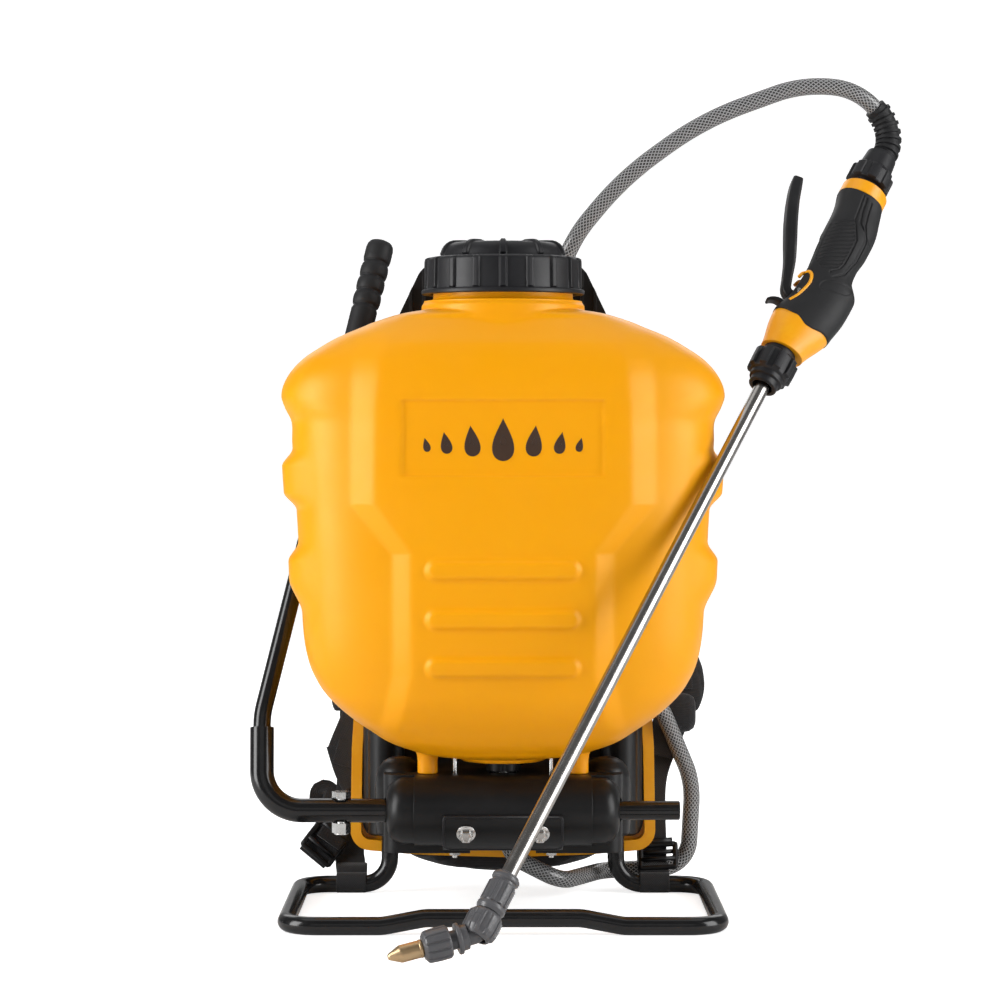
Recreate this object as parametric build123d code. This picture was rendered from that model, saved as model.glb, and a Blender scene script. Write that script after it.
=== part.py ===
from build123d import *
import math
import os

# Backpack sprayer, millimetres. +Z up, -Y is the front face of the tank, +Y is
# the wearer's side. The origin is on the ground, under the middle of the pump.

# ---- driving dimensions ----
TANK_WALL = 3.2
OUTLINE_POINTS = 20
TANK_CENTRE_Y = -15
TANK_FLOOR_Z = 121
TANK_FRONT_POWER = 2.8
TANK_BACK_POWER = 2.1
NECK_RADIUS = 55.7
NECK_BORE = 49.5
NECK_TOP_Z = 513
LID_FLANGE_RADIUS = 64.6
LID_RING_RADIUS = 62
LID_BOTTOM_Z = 492.7
LID_TOP_Z = 536

SHAFT_Y = -32
SHAFT_Z = 84
SHAFT_RADIUS = 8
STUB_RADIUS = 7.5
BARREL_RADIUS = 28
BARREL_HALF_LENGTH = 70
HOUSING_TOP_Z = 112
HOUSING_BOTTOM_Z = 50
HOUSING_BACK_Y = 96

CRANK_THROW = 32
CRANK_REST_ANGLE = 35
CRANK_PIN_RADIUS = 4
YOKE_SLOT_HALF_HEIGHT = 4.65
PISTON_RADIUS = 17.92
CYLINDER_BORE = 18
ROD_RADIUS = 5

TUBE_RADIUS = 7
FRAME_Z = 7
FRAME_FRONT_Y = -120
FRAME_BACK_Y = 88
FRAME_HALF_WIDTH = 167
FRAME_RISER_X = 94

PLATE_FRONT_Y = 97
PLATE_FLOOR_Y = 105
PLATE_BACK_Y = 109
PLATE_RIM = 9

HOSE_RADIUS = 7
HOSE_BORE = 4
HOSE_SWIVEL = (44, 89)
HOSE_SPLIT_Z = 440

WAND_FOOT = Vector(1.5, -235, 59.7)
WAND_HEAD = Vector(200.8, -25, 411.2)
WAND_RADIUS = 6
FIT = 0.05


# ---- helpers ----
def rounded_path(points, radius):
    """A wire through the points, each inner corner rounded to the radius."""
    corners = [Vector(*point) for point in points]
    radii = radius if isinstance(radius, (list, tuple)) else [radius] * (len(corners) - 2)
    edges = []
    start = corners[0]
    for before, corner, after, bend in zip(corners, corners[1:], corners[2:], radii):
        way_in = (corner - before).normalized()
        way_out = (after - corner).normalized()
        turn = math.acos(max(-1.0, min(1.0, way_in.dot(way_out))))
        if turn < 0.01:
            continue
        reach = bend * math.tan(turn / 2)
        arc_start = corner - way_in * reach
        arc_end = corner + way_out * reach
        inward = (way_out - way_in).normalized()
        middle = corner + inward * (bend / math.cos(turn / 2) - bend)
        edges.append(Line(start, arc_start))
        edges.append(ThreePointArc(arc_start, middle, arc_end))
        start = arc_end
    edges.append(Line(start, corners[-1]))
    return Wire(edges)


def rod_along(path, radius):
    """A round bar swept along a wire."""
    start = Plane(origin=path @ 0, z_dir=path % 0)
    return sweep(start * Circle(radius), path=path)


def tube_along(path, radius, bore):
    return rod_along(path, radius) - rod_along(path, bore)


def between(start, end, radius, end_radius=None):
    """A cylinder or cone from one point to another."""
    start = Vector(*start)
    end = Vector(*end)
    length = (end - start).length
    plane = Plane(origin=(start + end) / 2, z_dir=end - start)
    if end_radius is None or end_radius == radius:
        return plane * Cylinder(radius, length)
    return plane * Cone(radius, end_radius, length)


def upright(x, y, low, high, radius):
    return Pos(x, y, (low + high) / 2) * Cylinder(radius, high - low)


def block(x_low, x_high, y_low, y_high, z_low, z_high):
    middle = ((x_low + x_high) / 2, (y_low + y_high) / 2, (z_low + z_high) / 2)
    return Pos(*middle) * Box(x_high - x_low, y_high - y_low, z_high - z_low)


def across(x_low, x_high, radius, y=SHAFT_Y, z=SHAFT_Z):
    """A cylinder along X, on the pump shaft's line unless told otherwise."""
    return Pos((x_low + x_high) / 2, y, z) * Rot(0, 90, 0) * Cylinder(radius, x_high - x_low)


def both_sides(part):
    return part + mirror(part, Plane.YZ)


def hexagon(across_flats, height):
    return extrude(RegularPolygon(across_flats / 2, 6, major_radius=False), height / 2, both=True)


TANK_OUTLINE = [
    (125, 42, -46, 28),
    (133, 78, -62, 42),
    (148, 107, -75, 55),
    (172, 137, -86, 67),
    (209, 156, -92.5, 75),
    (250, 160, -94.5, 78),
    (310, 163, -95, 80),
    (380, 168, -93.5, 80),
    (412, 175.5, -90, 77),
    (427, 171, -86, 74),
    (441, 159, -80, 70),
    (459, 130, -69, 64),
    (481, 70, -58, 57),
]
SIDE_LUGS = [(336, 357, 8.5), (260, 282, 8.5)]
PANEL_RAISE = 4
PANEL_RECESS = 2
RIB_RAISE = 3
RIB_HEIGHTS = (277.5, 239.5, 202)
RIB_HALF_LENGTH = 60
RIB_WIDTH = 17
POST_X = 60
POST_Y = -20
POST_RADIUS = 8
TIE_X = 38.5
TIE_Y = -14
TIE_RADIUS = 2
OUTLET = (4, 44)


def tank_section(height, half_width, front, back):
    """One level of the tank: squarer at the front, rounder at the back."""
    points = []
    for step in range(OUTLINE_POINTS):
        angle = 2 * math.pi * step / OUTLINE_POINTS
        side, depth = math.cos(angle), math.sin(angle)
        power = TANK_BACK_POWER if depth > 0 else TANK_FRONT_POWER
        reach = back - TANK_CENTRE_Y if depth > 0 else TANK_CENTRE_Y - front
        x = half_width * math.copysign(abs(side) ** (2 / power), side)
        y = TANK_CENTRE_Y + reach * math.copysign(abs(depth) ** (2 / power), depth)
        points.append((x, y, height))
    return make_face(Spline(*points, periodic=True))


def tank_form(front_grow=0, side_grow=0, inset=0):
    """The tank's outline as a solid, grown or shrunk."""
    sections = []
    for height, half_width, front, back in TANK_OUTLINE:
        lift = inset if height < 200 else (-inset if height > 400 else 0)
        sections.append(tank_section(
            height + lift,
            half_width + side_grow - inset,
            front - front_grow + inset,
            back - inset,
        ))
    return loft(sections)


def front_panel_outline():
    """Front view of the raised panel: wide above, waisted below."""
    corner_points = [
        (0, 150), (80, 150), (84, 190), (84, 290), (114, 325), (114, 395), (101, 446), (0, 446),
    ]
    right = Polyline(*corner_points)
    left = mirror(right, Plane.YZ)
    outline = Plane.XZ * make_face(Wire(list(right.edges()) + list(left.edges())))
    return extrude(outline, 130)


def front_capsule(height):
    shape = SlotOverall(2 * RIB_HALF_LENGTH, RIB_WIDTH)
    return extrude(Plane(origin=(0, -50, height), z_dir=(0, -1, 0), x_dir=(1, 0, 0)) * shape, 80)


def tank():
    body = tank_form()
    raised = tank_form(front_grow=PANEL_RAISE)
    body += raised & front_panel_outline()
    recess = block(-77.4, 77.4, -130, -60, 349.6, 408.4)
    body -= recess - tank_form(front_grow=PANEL_RAISE - PANEL_RECESS)
    proud = tank_form(front_grow=PANEL_RAISE + RIB_RAISE)
    for height in RIB_HEIGHTS:
        body += proud & front_capsule(height)
    for low, high, grow in SIDE_LUGS:
        lug = tank_form(side_grow=grow) & block(100, 200, -45, 25, low, high)
        body += both_sides(lug)
    body += upright(0, 0, TANK_FLOOR_Z, 140, 35.5)
    body += upright(0, 0, 455, 487, 65)
    body += upright(0, 0, 480, NECK_TOP_Z, NECK_RADIUS)
    for height in (497, 504):
        body += upright(0, 0, height, height + 2.2, NECK_RADIUS + 1.6)
    body += both_sides(upright(POST_X, POST_Y, HOUSING_TOP_Z + 0.1, 145, POST_RADIUS))
    cavity = tank_form(inset=TANK_WALL)
    body -= cavity
    body -= upright(0, 0, 450, NECK_TOP_Z + 1, NECK_BORE)
    body += both_sides(upright(TIE_X, TIE_Y, 126, 150, 6.5))
    body -= both_sides(upright(TIE_X, TIE_Y, 110, 143, TIE_RADIUS + FIT))
    body -= upright(0, 0, 100, 150, 10 + FIT)
    body -= upright(*OUTLET, 100, 150, 9 + FIT)
    return body


# ---- lid and strainer ----
SEAL_Z = 515.1
LID_UNDERSIDE_Z = 517.7
LID_RING_TOP_Z = 520.5
DOME_TOP_Z = 534
LID_BORE = 58.3


def lid():
    body = upright(0, 0, LID_BOTTOM_Z, LID_RING_TOP_Z, LID_RING_RADIUS)
    body = chamfer(body.edges().sort_by(Axis.Z)[-1], 2)
    dome_height = DOME_TOP_Z - LID_RING_TOP_Z
    body += Pos(0, 0, (LID_RING_TOP_Z + DOME_TOP_Z) / 2) * Cone(50.5, 40, dome_height)
    ring_rib = block(LID_RING_RADIUS - 1, LID_FLANGE_RADIUS, -2.4, 2.4, LID_BOTTOM_Z + 1, 519)
    dome_rib = block(22, 51, -1.8, 1.8, LID_RING_TOP_Z - 1, LID_TOP_Z)
    dome_rib &= upright(0, 0, 500, 525, 51) + Pos(0, 0, 530.5) * Cone(51, 43, 11)
    for step in range(18):
        body += Rot(0, 0, step * 20) * ring_rib
    for step in range(12):
        body += Rot(0, 0, step * 30) * dome_rib
    body -= upright(0, 0, LID_BOTTOM_Z - 1, LID_UNDERSIDE_Z, LID_BORE)
    body -= upright(0, 0, LID_UNDERSIDE_Z - 1, 531, 36)
    body -= upright(0, 0, 530, LID_TOP_Z + 1, 1.6)
    return body


def vent_valve():
    return upright(0, 0, 526, 530.9, 5) + upright(0, 0, 530, 533.5, 1.5)


def lid_seal():
    return upright(0, 0, SEAL_Z, LID_UNDERSIDE_Z - 0.1, 57) - upright(0, 0, 500, 530, 47.5)


def strainer():
    """Filling basket: a rim on the neck, slotted walls and a slotted floor."""
    rim = upright(0, 0, NECK_TOP_Z + FIT, SEAL_Z - FIT, 55)
    basket = upright(0, 0, 448, NECK_TOP_Z + 1, 46.5)
    basket = rim + basket - upright(0, 0, 450, 520, 45)
    window = block(40, 50, -3.5, 3.5, 458, 500)
    for step in range(16):
        basket -= Rot(0, 0, step * 22.5) * window
    for offset in range(-4, 5):
        reach = math.sqrt(42 ** 2 - (offset * 9) ** 2)
        basket -= block(-reach, reach, offset * 9 - 2.5, offset * 9 + 2.5, 440, 460)
    return basket


# ---- pump inside the tank ----
PUMP_BASE_Z = 128.3
CYLINDER_TOP_Z = 205
CHAMBER_TOP_Z = 244
CHAMBER_RADIUS = 30
GLAND_BOTTOM_Z = 112.5
PISTON_Z = 186


def pump_cylinder():
    body = upright(0, 0, PUMP_BASE_Z, 134, 24) + upright(0, 0, 132, CYLINDER_TOP_Z, 20)
    body += upright(0, 0, CYLINDER_TOP_Z - 4, CYLINDER_TOP_Z, CHAMBER_RADIUS)
    body -= upright(0, 0, 134, CYLINDER_TOP_Z - 4, CYLINDER_BORE)
    body -= upright(0, 0, 120, 140, 10 + FIT)
    body -= upright(0, 0, 190, 210, 3)
    for angle in range(0, 360, 60):
        port = Pos(9.5, 0, 203) * Cylinder(1.6, 10)
        body -= Rot(0, 0, angle) * port
        body -= Rot(0, 0, angle + 30) * block(16, 22, -3, 3, 136, 143)
    return body


def pump_gland():
    nose = upright(0, 0, GLAND_BOTTOM_Z, TANK_FLOOR_Z - FIT, 14)
    for angle in range(0, 360, 45):
        nose -= Rot(0, 0, angle) * upright(14.5, 0, 100, 130, 2)
    return nose + upright(0, 0, TANK_FLOOR_Z - 1, 131, 10) - upright(0, 0, 100, 140, ROD_RADIUS + FIT)


def outlet_valve():
    """Rubber umbrella over the ports in the cylinder head."""
    return upright(0, 0, CYLINDER_TOP_Z + FIT, CYLINDER_TOP_Z + 2.5, 13.5) + upright(0, 0, 201, 206, 2.9)


def pressure_chamber():
    """Air-cushion dome that screws down on the cylinder head."""
    dome = upright(0, 0, CYLINDER_TOP_Z - 8, CHAMBER_TOP_Z, CHAMBER_RADIUS + 3)
    dome = fillet(dome.edges().sort_by(Axis.Z)[-1], 12)
    inside = upright(0, 0, CYLINDER_TOP_Z + 0.1, CHAMBER_TOP_Z - 3, CHAMBER_RADIUS - 1)
    inside = fillet(inside.edges().sort_by(Axis.Z)[-1], 10)
    dome -= inside + upright(0, 0, 190, CYLINDER_TOP_Z + 0.1, CHAMBER_RADIUS + FIT)
    return dome - between((0, 26, 222), (0, 50, 222), 4 + FIT)


def discharge_pipe():
    """Carries liquid from the chamber down to the outlet in the tank floor."""
    x, y = OUTLET
    path = rounded_path([(0, 27, 222), (0, 44, 222), (x, y, 200), (x, y, 134)], [10, 10])
    return tube_along(path, 4, 2.6)


def outlet_elbow():
    """Outlet fitting through the tank floor, with a barb for the hose."""
    x, y = OUTLET
    body = upright(x, y, 101, 146, 9) + upright(x, y, 104, 108, 12)
    body += upright(x, y, 84, 102, HOSE_BORE - FIT)
    body -= upright(x, y, 133.9, 150, 4 + FIT)
    return body - upright(x, y, 80, 150, 2.4)


def piston():
    body = upright(0, 0, PISTON_Z, PISTON_Z + 6, PISTON_RADIUS)
    body += upright(0, 0, PISTON_Z, PISTON_Z + 11, 9)
    for angle in range(0, 360, 45):
        body -= Rot(0, 0, angle) * upright(13.5, 0, 180, 210, 2)
    return body - upright(0, 0, 180, 200, 4 + FIT)


def cup_seal():
    """Rubber cup that grips the bore on the up stroke."""
    cup = upright(0, 0, PISTON_Z + 6.1, PISTON_Z + 11, PISTON_RADIUS + 0.03)
    hollow = Pos(0, 0, PISTON_Z + 9.6) * Cone(13, 16.4, 3.2)
    return cup - hollow - upright(0, 0, 180, 210, 9 + FIT)


def plunger():
    """Slotted yoke round the crank pin, with the piston rod standing on it."""
    slot_z = SHAFT_Z + CRANK_THROW * math.sin(math.radians(CRANK_REST_ANGLE))
    yoke = block(-9, 9, -15, 9, slot_z - 9, slot_z + 9)
    slot = block(-20, 20, -11, 5, slot_z - YOKE_SLOT_HALF_HEIGHT, slot_z + YOKE_SLOT_HALF_HEIGHT)
    rod = upright(0, 0, slot_z + 8, PISTON_Z - FIT, ROD_RADIUS)
    return yoke - slot + rod + upright(0, 0, PISTON_Z - 1, PISTON_Z + 10, 4)


# ---- base ----
CAVITY_HALF_WIDTH = 26
SHOULDER_END_X = 92
SHOULDER_RADIUS = 26.5
BOX_X = 95
BUSH_RADIUS = 11
BUSH_SPAN = (46, 90)
BOSS_X = 97
BOSS_Y = 89
BOSS_RADIUS = 15
BOSS_TOP_Z = 158
SOCKET_TOP_Z = 76
COVER_RADIUS = 31.5
COVER_BOLT_X = 29
COVER_BOLT_ANGLE = 27
FRAME_SCREW_Z = 64
PLATE_SCREWS = [(-70, 75), (70, 75), (-70, 150), (70, 150)]
HANDLE_SCREW_X = 66
HANDLE_SCREW_Z = 455
HOOD_LOW_Z = 441
HOOD_TOP_Z = 522
HOOD_THICKNESS = 5
HOOD_RIM = 6
HOOD_RIM_DEPTH = 9
HOOD_RIB_PITCH = 11
HOOD_RIB_DEPTH = 4


def housing_shell():
    """The shaft barrel with its stepped ends, the box behind it, two bosses and the back wall."""
    barrel = across(-BARREL_HALF_LENGTH, BARREL_HALF_LENGTH, BARREL_RADIUS)
    shoulder = across(60, SHOULDER_END_X, SHOULDER_RADIUS)
    shoulder = fillet(shoulder.edges().filter_by(GeomType.CIRCLE).sort_by(Axis.X)[-1], 14)
    box = block(-BOX_X, BOX_X, SHAFT_Y, HOUSING_BACK_Y, HOUSING_BOTTOM_Z, HOUSING_TOP_Z)
    box = fillet(box.edges().filter_by(Axis.Z), 12)
    box_inside = block(-BOX_X + 5, BOX_X - 5, 6, HOUSING_BACK_Y - 4, 40, HOUSING_TOP_Z - 4)
    middle_rib = block(-3, 3, 60, HOUSING_BACK_Y - 2, HOUSING_BOTTOM_Z + 20, HOUSING_TOP_Z - 2)
    body = barrel + both_sides(shoulder) + (box - box_inside) + middle_rib
    body += both_sides(upright(BOSS_X, BOSS_Y, HOUSING_BOTTOM_Z, BOSS_TOP_Z, BOSS_RADIUS))
    back_wall = block(-108, 108, HOUSING_BACK_Y, PLATE_FLOOR_Y - FIT, 56, BOSS_TOP_Z)
    return body + back_wall


def crank_chamber():
    """Room for the crank to swing, the plunger's way up and the service opening in front."""
    half = CAVITY_HALF_WIDTH
    room = block(-half, half, SHAFT_Y - 14, SHAFT_Y + 14, 36, SHAFT_Z + 20)
    room += block(-half, half, SHAFT_Y + 14, 12, 36, HOUSING_TOP_Z - 1.5)
    plunger_way = block(-10.5, 10.5, -17, 11, 100, 130)
    service_opening = block(-22, 22, -70, SHAFT_Y - 8, 60, SHAFT_Z - 2)
    return room + plunger_way + service_opening + across(-half - 1, half + 1, 13)


def base_housing():
    """Moulded base that carries the tank, the shaft's bushes and the frame's risers."""
    body = housing_shell() - crank_chamber()
    body -= across(-100, 100, 9.5)
    body -= both_sides(across(BUSH_SPAN[0], 100, BUSH_RADIUS + FIT))
    body -= both_sides(upright(TIE_X, TIE_Y, 40, 120, TIE_RADIUS + 0.2))
    body -= upright(*OUTLET, 100, 120, 13.5)
    body -= both_sides(upright(FRAME_RISER_X, FRAME_BACK_Y, 40, SOCKET_TOP_Z, TUBE_RADIUS + FIT))
    screw_hole = between((FRAME_RISER_X, 60, FRAME_SCREW_Z), (FRAME_RISER_X, 85, FRAME_SCREW_Z), 2.6)
    head_room = between((FRAME_RISER_X, 66, FRAME_SCREW_Z), (FRAME_RISER_X, 74, FRAME_SCREW_Z), 6)
    body -= both_sides(screw_hole + head_room)
    for side in (-1, 1):
        body -= cover_bolt_place(side) * Cylinder(3 + FIT, 80)
    for x, z in PLATE_SCREWS:
        body -= between((x, 90, z), (x, 110, z), 2 + FIT)
    return body


def cover_bolt_place(side):
    """Frame on the cover's face, its Z axis pointing out along the bolt."""
    angle = math.radians(COVER_BOLT_ANGLE)
    outward = (0, -math.cos(angle), -math.sin(angle))
    centre = Vector(side * COVER_BOLT_X, SHAFT_Y, SHAFT_Z) + Vector(*outward) * COVER_RADIUS
    return Plane(origin=centre, z_dir=outward)


def crank_cover():
    body = across(-47, 47, COVER_RADIUS) - across(-50, 50, BARREL_RADIUS + FIT)
    body &= block(-47, 47, -80, -42, 50, SHAFT_Z)
    for side in (-1, 1):
        body -= cover_bolt_place(side) * Cylinder(3 + FIT, 30)
    return body


def cover_bolts():
    body = Part()
    for side in (-1, 1):
        place = cover_bolt_place(side)
        # The washer face stands just off the curved cover.
        body += place * Pos(0, 0, 1.3) * Cylinder(7, 1.4)
        body += place * Pos(0, 0, 4) * hexagon(10, 5)
        body += place * Pos(0, 0, -6.5) * Cylinder(3, 15)
    return body


def shaft_bushes():
    low, high = BUSH_SPAN
    bush = across(low + FIT, high, BUSH_RADIUS) - across(low - 1, high + 1, SHAFT_RADIUS + 0.06)
    return both_sides(bush)


def base_frame():
    """One bent steel tube that the sprayer stands on."""
    half = [
        (FRAME_RISER_X, FRAME_BACK_Y, SOCKET_TOP_Z - 1),
        (FRAME_RISER_X, FRAME_BACK_Y, FRAME_Z),
        (FRAME_HALF_WIDTH, FRAME_BACK_Y, FRAME_Z),
        (FRAME_HALF_WIDTH, FRAME_FRONT_Y, FRAME_Z),
        (92, FRAME_FRONT_Y, FRAME_Z),
        (60, FRAME_FRONT_Y, FRAME_Z + 6),
    ]
    other = [(-x, y, z) for x, y, z in reversed(half)]
    bends = [22, 24, 24, 40, 40, 40, 40, 24, 24, 22]
    tube = tube_along(rounded_path(half + other, bends), TUBE_RADIUS, TUBE_RADIUS - 1.4)
    hole = between((FRAME_RISER_X, 75, FRAME_SCREW_Z), (FRAME_RISER_X, 88, FRAME_SCREW_Z), 2.6)
    return tube - both_sides(hole)


def frame_screws():
    front = BOSS_Y - BOSS_RADIUS
    head = between((FRAME_RISER_X, front - 4, FRAME_SCREW_Z), (FRAME_RISER_X, front, FRAME_SCREW_Z), 5)
    shank = between((FRAME_RISER_X, front - 1, FRAME_SCREW_Z), (FRAME_RISER_X, 86, FRAME_SCREW_Z), 2.5)
    return both_sides(head + shank)


def tie_rods():
    return both_sides(upright(TIE_X, TIE_Y, 44, 142, TIE_RADIUS))


def tie_rod_nuts():
    nut = Pos(TIE_X, TIE_Y, HOUSING_BOTTOM_Z - 2.1) * hexagon(7, 4)
    return both_sides(nut - upright(TIE_X, TIE_Y, 40, 55, TIE_RADIUS + FIT))


# ---- back plate, handle and pads ----
def plate_outline():
    right = [(0, 28), (70, 30), (127.5, 35), (126, 120), (115, 300), (103, 440), (88, 470), (0, 470)]
    left = [(-x, z) for x, z in reversed(right[1:-1])]
    outline = make_face(Polyline(*right, *left, close=True))
    bottom = [v for v in outline.vertices() if v.Y < 36 and abs(v.X) > 100]
    outline = fillet(bottom, 17)
    top = [v for v in outline.vertices() if v.Y > 460 and abs(v.X) > 60]
    return fillet(top, 14)


def back_plate():
    """Shallow moulded tray with a rim round it, open towards the tank."""
    outline = plate_outline()
    depth = PLATE_BACK_Y - PLATE_FRONT_Y
    body = extrude(Plane.XZ * outline, -depth)
    pocket = extrude(Plane.XZ * offset(outline, -PLATE_RIM), -(PLATE_FLOOR_Y - PLATE_FRONT_Y))
    body = Pos(0, PLATE_FRONT_Y, 0) * (body - pocket)
    for x, z in PLATE_SCREWS + [(-HANDLE_SCREW_X, HANDLE_SCREW_Z), (HANDLE_SCREW_X, HANDLE_SCREW_Z)]:
        body -= between((x, 95, z), (x, 115, z), 2 + FIT)
    return body


def plate_screws():
    body = Part()
    for x, z in PLATE_SCREWS:
        body += between((x, PLATE_BACK_Y + FIT, z), (x, PLATE_BACK_Y + 2.6, z), 4.5)
        body += between((x, 99, z), (x, PLATE_BACK_Y + 1, z), 2)
    for x in (-HANDLE_SCREW_X, HANDLE_SCREW_X):
        z = HANDLE_SCREW_Z
        body += between((x, PLATE_FLOOR_Y - 2.6, z), (x, PLATE_FLOOR_Y - FIT, z), 4.5)
        body += between((x, PLATE_FLOOR_Y - 1, z), (x, 117, z), 2)
    return body


def hood_outline():
    """Arched outline of the top handle, in X and Z."""
    right = [(90, HOOD_LOW_Z), (90, 474), (67, HOOD_TOP_Z)]
    left = [(-x, z) for x, z in reversed(right)]
    outline = make_face(Polyline(*right, *left, close=True))
    shoulders = [v for v in outline.vertices() if 473 < v.Y < 475]
    outline = fillet(shoulders, 45)
    top = [v for v in outline.vertices() if v.Y > HOOD_TOP_Z - 1]
    return fillet(top, 14)


def top_handle():
    """Arched hood behind the filling neck, with upright ribs and a slot for the hand."""
    outline = hood_outline()
    low_y = PLATE_BACK_Y + FIT
    body = Pos(0, low_y, 0) * extrude(Plane.XZ * outline, -HOOD_THICKNESS)
    rim = Plane.XZ * (outline - offset(outline, -HOOD_RIM))
    body += Pos(0, low_y, 0) * extrude(rim, -HOOD_RIM_DEPTH)
    ribs = Part()
    for x in range(-77, 78, HOOD_RIB_PITCH):
        ribs += block(x - 1.2, x + 1.2, low_y - HOOD_RIB_DEPTH, low_y + 1, 472, HOOD_TOP_Z)
    body += ribs & (Pos(0, low_y - HOOD_RIB_DEPTH, 0) * extrude(Plane.XZ * outline, -10))
    slot = Plane.XZ * Pos(0, 503) * RectangleRounded(84, 20, 9.5)
    body -= Pos(0, 90, 0) * extrude(slot, -50)
    hole = between((HANDLE_SCREW_X, 100, HANDLE_SCREW_Z), (HANDLE_SCREW_X, 125, HANDLE_SCREW_Z), 2 + FIT)
    return body - both_sides(hole)


def lumbar_pad():
    outline = Wire([
        ThreePointArc((-94, 44), (0, 9), (94, 44)),
        Line((94, 44), (94, 118)),
        Line((94, 118), (-94, 118)),
        Line((-94, 118), (-94, 44)),
    ])
    pad = Pos(0, PLATE_BACK_Y + 4, 0) * extrude(Plane.XZ * make_face(outline), -34)
    return fillet(pad.edges().group_by(Axis.Y)[-1], 12)


def back_pad():
    pad = block(-86, 86, PLATE_BACK_Y + 4, PLATE_BACK_Y + 26, 150, 438)
    pad = fillet(pad.edges().filter_by(Axis.Y), 24)
    return fillet(pad.edges().group_by(Axis.Y)[-1], 9)


# ---- harness ----
RIGHT_STRAP = [
    (47, 126, 474), (49, 143, 483), (58, 176, 462), (68, 200, 400),
    (84, 204, 330), (108, 186, 262), (134, 156, 208), (147, 134, 172), (147, 124, 146),
]
LEFT_STRAP = [
    (-47, 126, 474), (-49, 143, 483), (-54, 176, 462), (-60, 200, 400),
    (-72, 204, 330), (-92, 186, 262), (-112, 156, 208), (-122, 134, 172), (-125, 124, 146),
]
STRAP_WIDTH = 52
STRAP_THICKNESS = 12
WEB_WIDTH = 25
WEB_THICKNESS = 2
RIGHT_WEB = [
    (126, 94.5, 12), (125, 107, 24), (125, 112, 36), (125, 112, 90), (139, 121, 126), (147, 123, 143.5),
]
LEFT_WEB = [
    (-126, 94.5, 12), (-128, 107, 24), (-129, 112, 36),
    (-127, 112, 90), (-125, 121, 126), (-125, 123, 143.5),
]


def ribbon(points, width, thickness):
    """A flat band that follows the points, its width kept along X."""
    centres = [Vector(*point) for point in points]
    sections = []
    for index, centre in enumerate(centres):
        before = centres[max(index - 1, 0)]
        after = centres[min(index + 1, len(centres) - 1)]
        along = after - before
        along = Vector(0, along.Y, along.Z).normalized()
        plane = Plane(origin=centre, x_dir=(1, 0, 0), z_dir=along)
        sections.append(plane * Rectangle(width, thickness))
    return loft(sections, ruled=True)


def padded_strap(points):
    return ribbon(points, STRAP_WIDTH, STRAP_THICKNESS)


def webbing(points):
    """Flat webbing, sewn in a loop round the rear bar of the frame."""
    x = points[0][0]
    low, high = x - WEB_WIDTH / 2, x + WEB_WIDTH / 2
    loop = across(low, high, 9.4, FRAME_BACK_Y, FRAME_Z)
    loop -= across(low - 1, high + 1, 7.2, FRAME_BACK_Y, FRAME_Z)
    loop &= block(low, high, 60, 120, 0.4, 40)
    return loop + ribbon(points, WEB_WIDTH, WEB_THICKNESS)


def ladder_lock(points):
    """Buckle that grips the webbing just above the frame."""
    x, y, z = points[1]
    tilt = Plane(origin=(x, y - 4, z - 2), x_dir=(1, 0, 0), z_dir=(0, 0.7, 0.71))
    body = tilt * Box(33, 9, 15)
    body = fillet(body.edges().filter_by(GeomType.LINE), 1.5)
    return body - ribbon(points, WEB_WIDTH + 1, WEB_THICKNESS + 0.6)


# ---- pump shaft and lever ----
LEVER_CORNER = Vector(-191, SHAFT_Y, SHAFT_Z)
LEVER_KNEE = Vector(-192, -14, 158)
LEVER_TOP = Vector(-102, 124, 542)
LEVER_LOWER_RADIUS = 9.5
LEVER_BORE = 7.6
LEVER_BOLT_X = -128
GRIP_LENGTH = 115
GRIP_RADIUS = 11.2
LEG = (LEVER_KNEE - LEVER_CORNER).normalized()
REACH = (LEVER_TOP - LEVER_KNEE).normalized()


def pump_shaft():
    body = across(-90, 90, SHAFT_RADIUS) + across(90, 140, STUB_RADIUS) + across(-150, -90, STUB_RADIUS)
    body = chamfer(body.edges().sort_by(Axis.X)[-1], 0.8)
    return body - upright(LEVER_BOLT_X, SHAFT_Y, 60, 110, 4 + FIT)


def crank():
    """Two webs on the shaft with the crank pin between them."""
    web = across(13, 18, 12, 0, 0) + across(13, 18, 7.5, CRANK_THROW, 0)
    web += block(13, 18, 0, CRANK_THROW, -7.5, 7.5)
    body = both_sides(web) - across(-20, 20, SHAFT_RADIUS + FIT, 0, 0)
    body += across(-17, 17, CRANK_PIN_RADIUS, CRANK_THROW, 0)
    return Pos(0, SHAFT_Y, SHAFT_Z) * Rot(CRANK_REST_ANGLE, 0, 0) * body


def lever_lower():
    """Angled arm: a wide tube that slips over the shaft and turns upward."""
    end = LEVER_CORNER + LEG * 66
    path = rounded_path([(-93, SHAFT_Y, SHAFT_Z), LEVER_CORNER, end], 32)
    body = tube_along(path, LEVER_LOWER_RADIUS, LEVER_BORE)
    return body - upright(LEVER_BOLT_X, SHAFT_Y, 60, 110, 4 + FIT)


def lever_upper():
    start = LEVER_CORNER + LEG * 38
    path = rounded_path([start, LEVER_KNEE, LEVER_TOP - REACH * 5], 60)
    return tube_along(path, TUBE_RADIUS, TUBE_RADIUS - 1.5)


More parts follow.
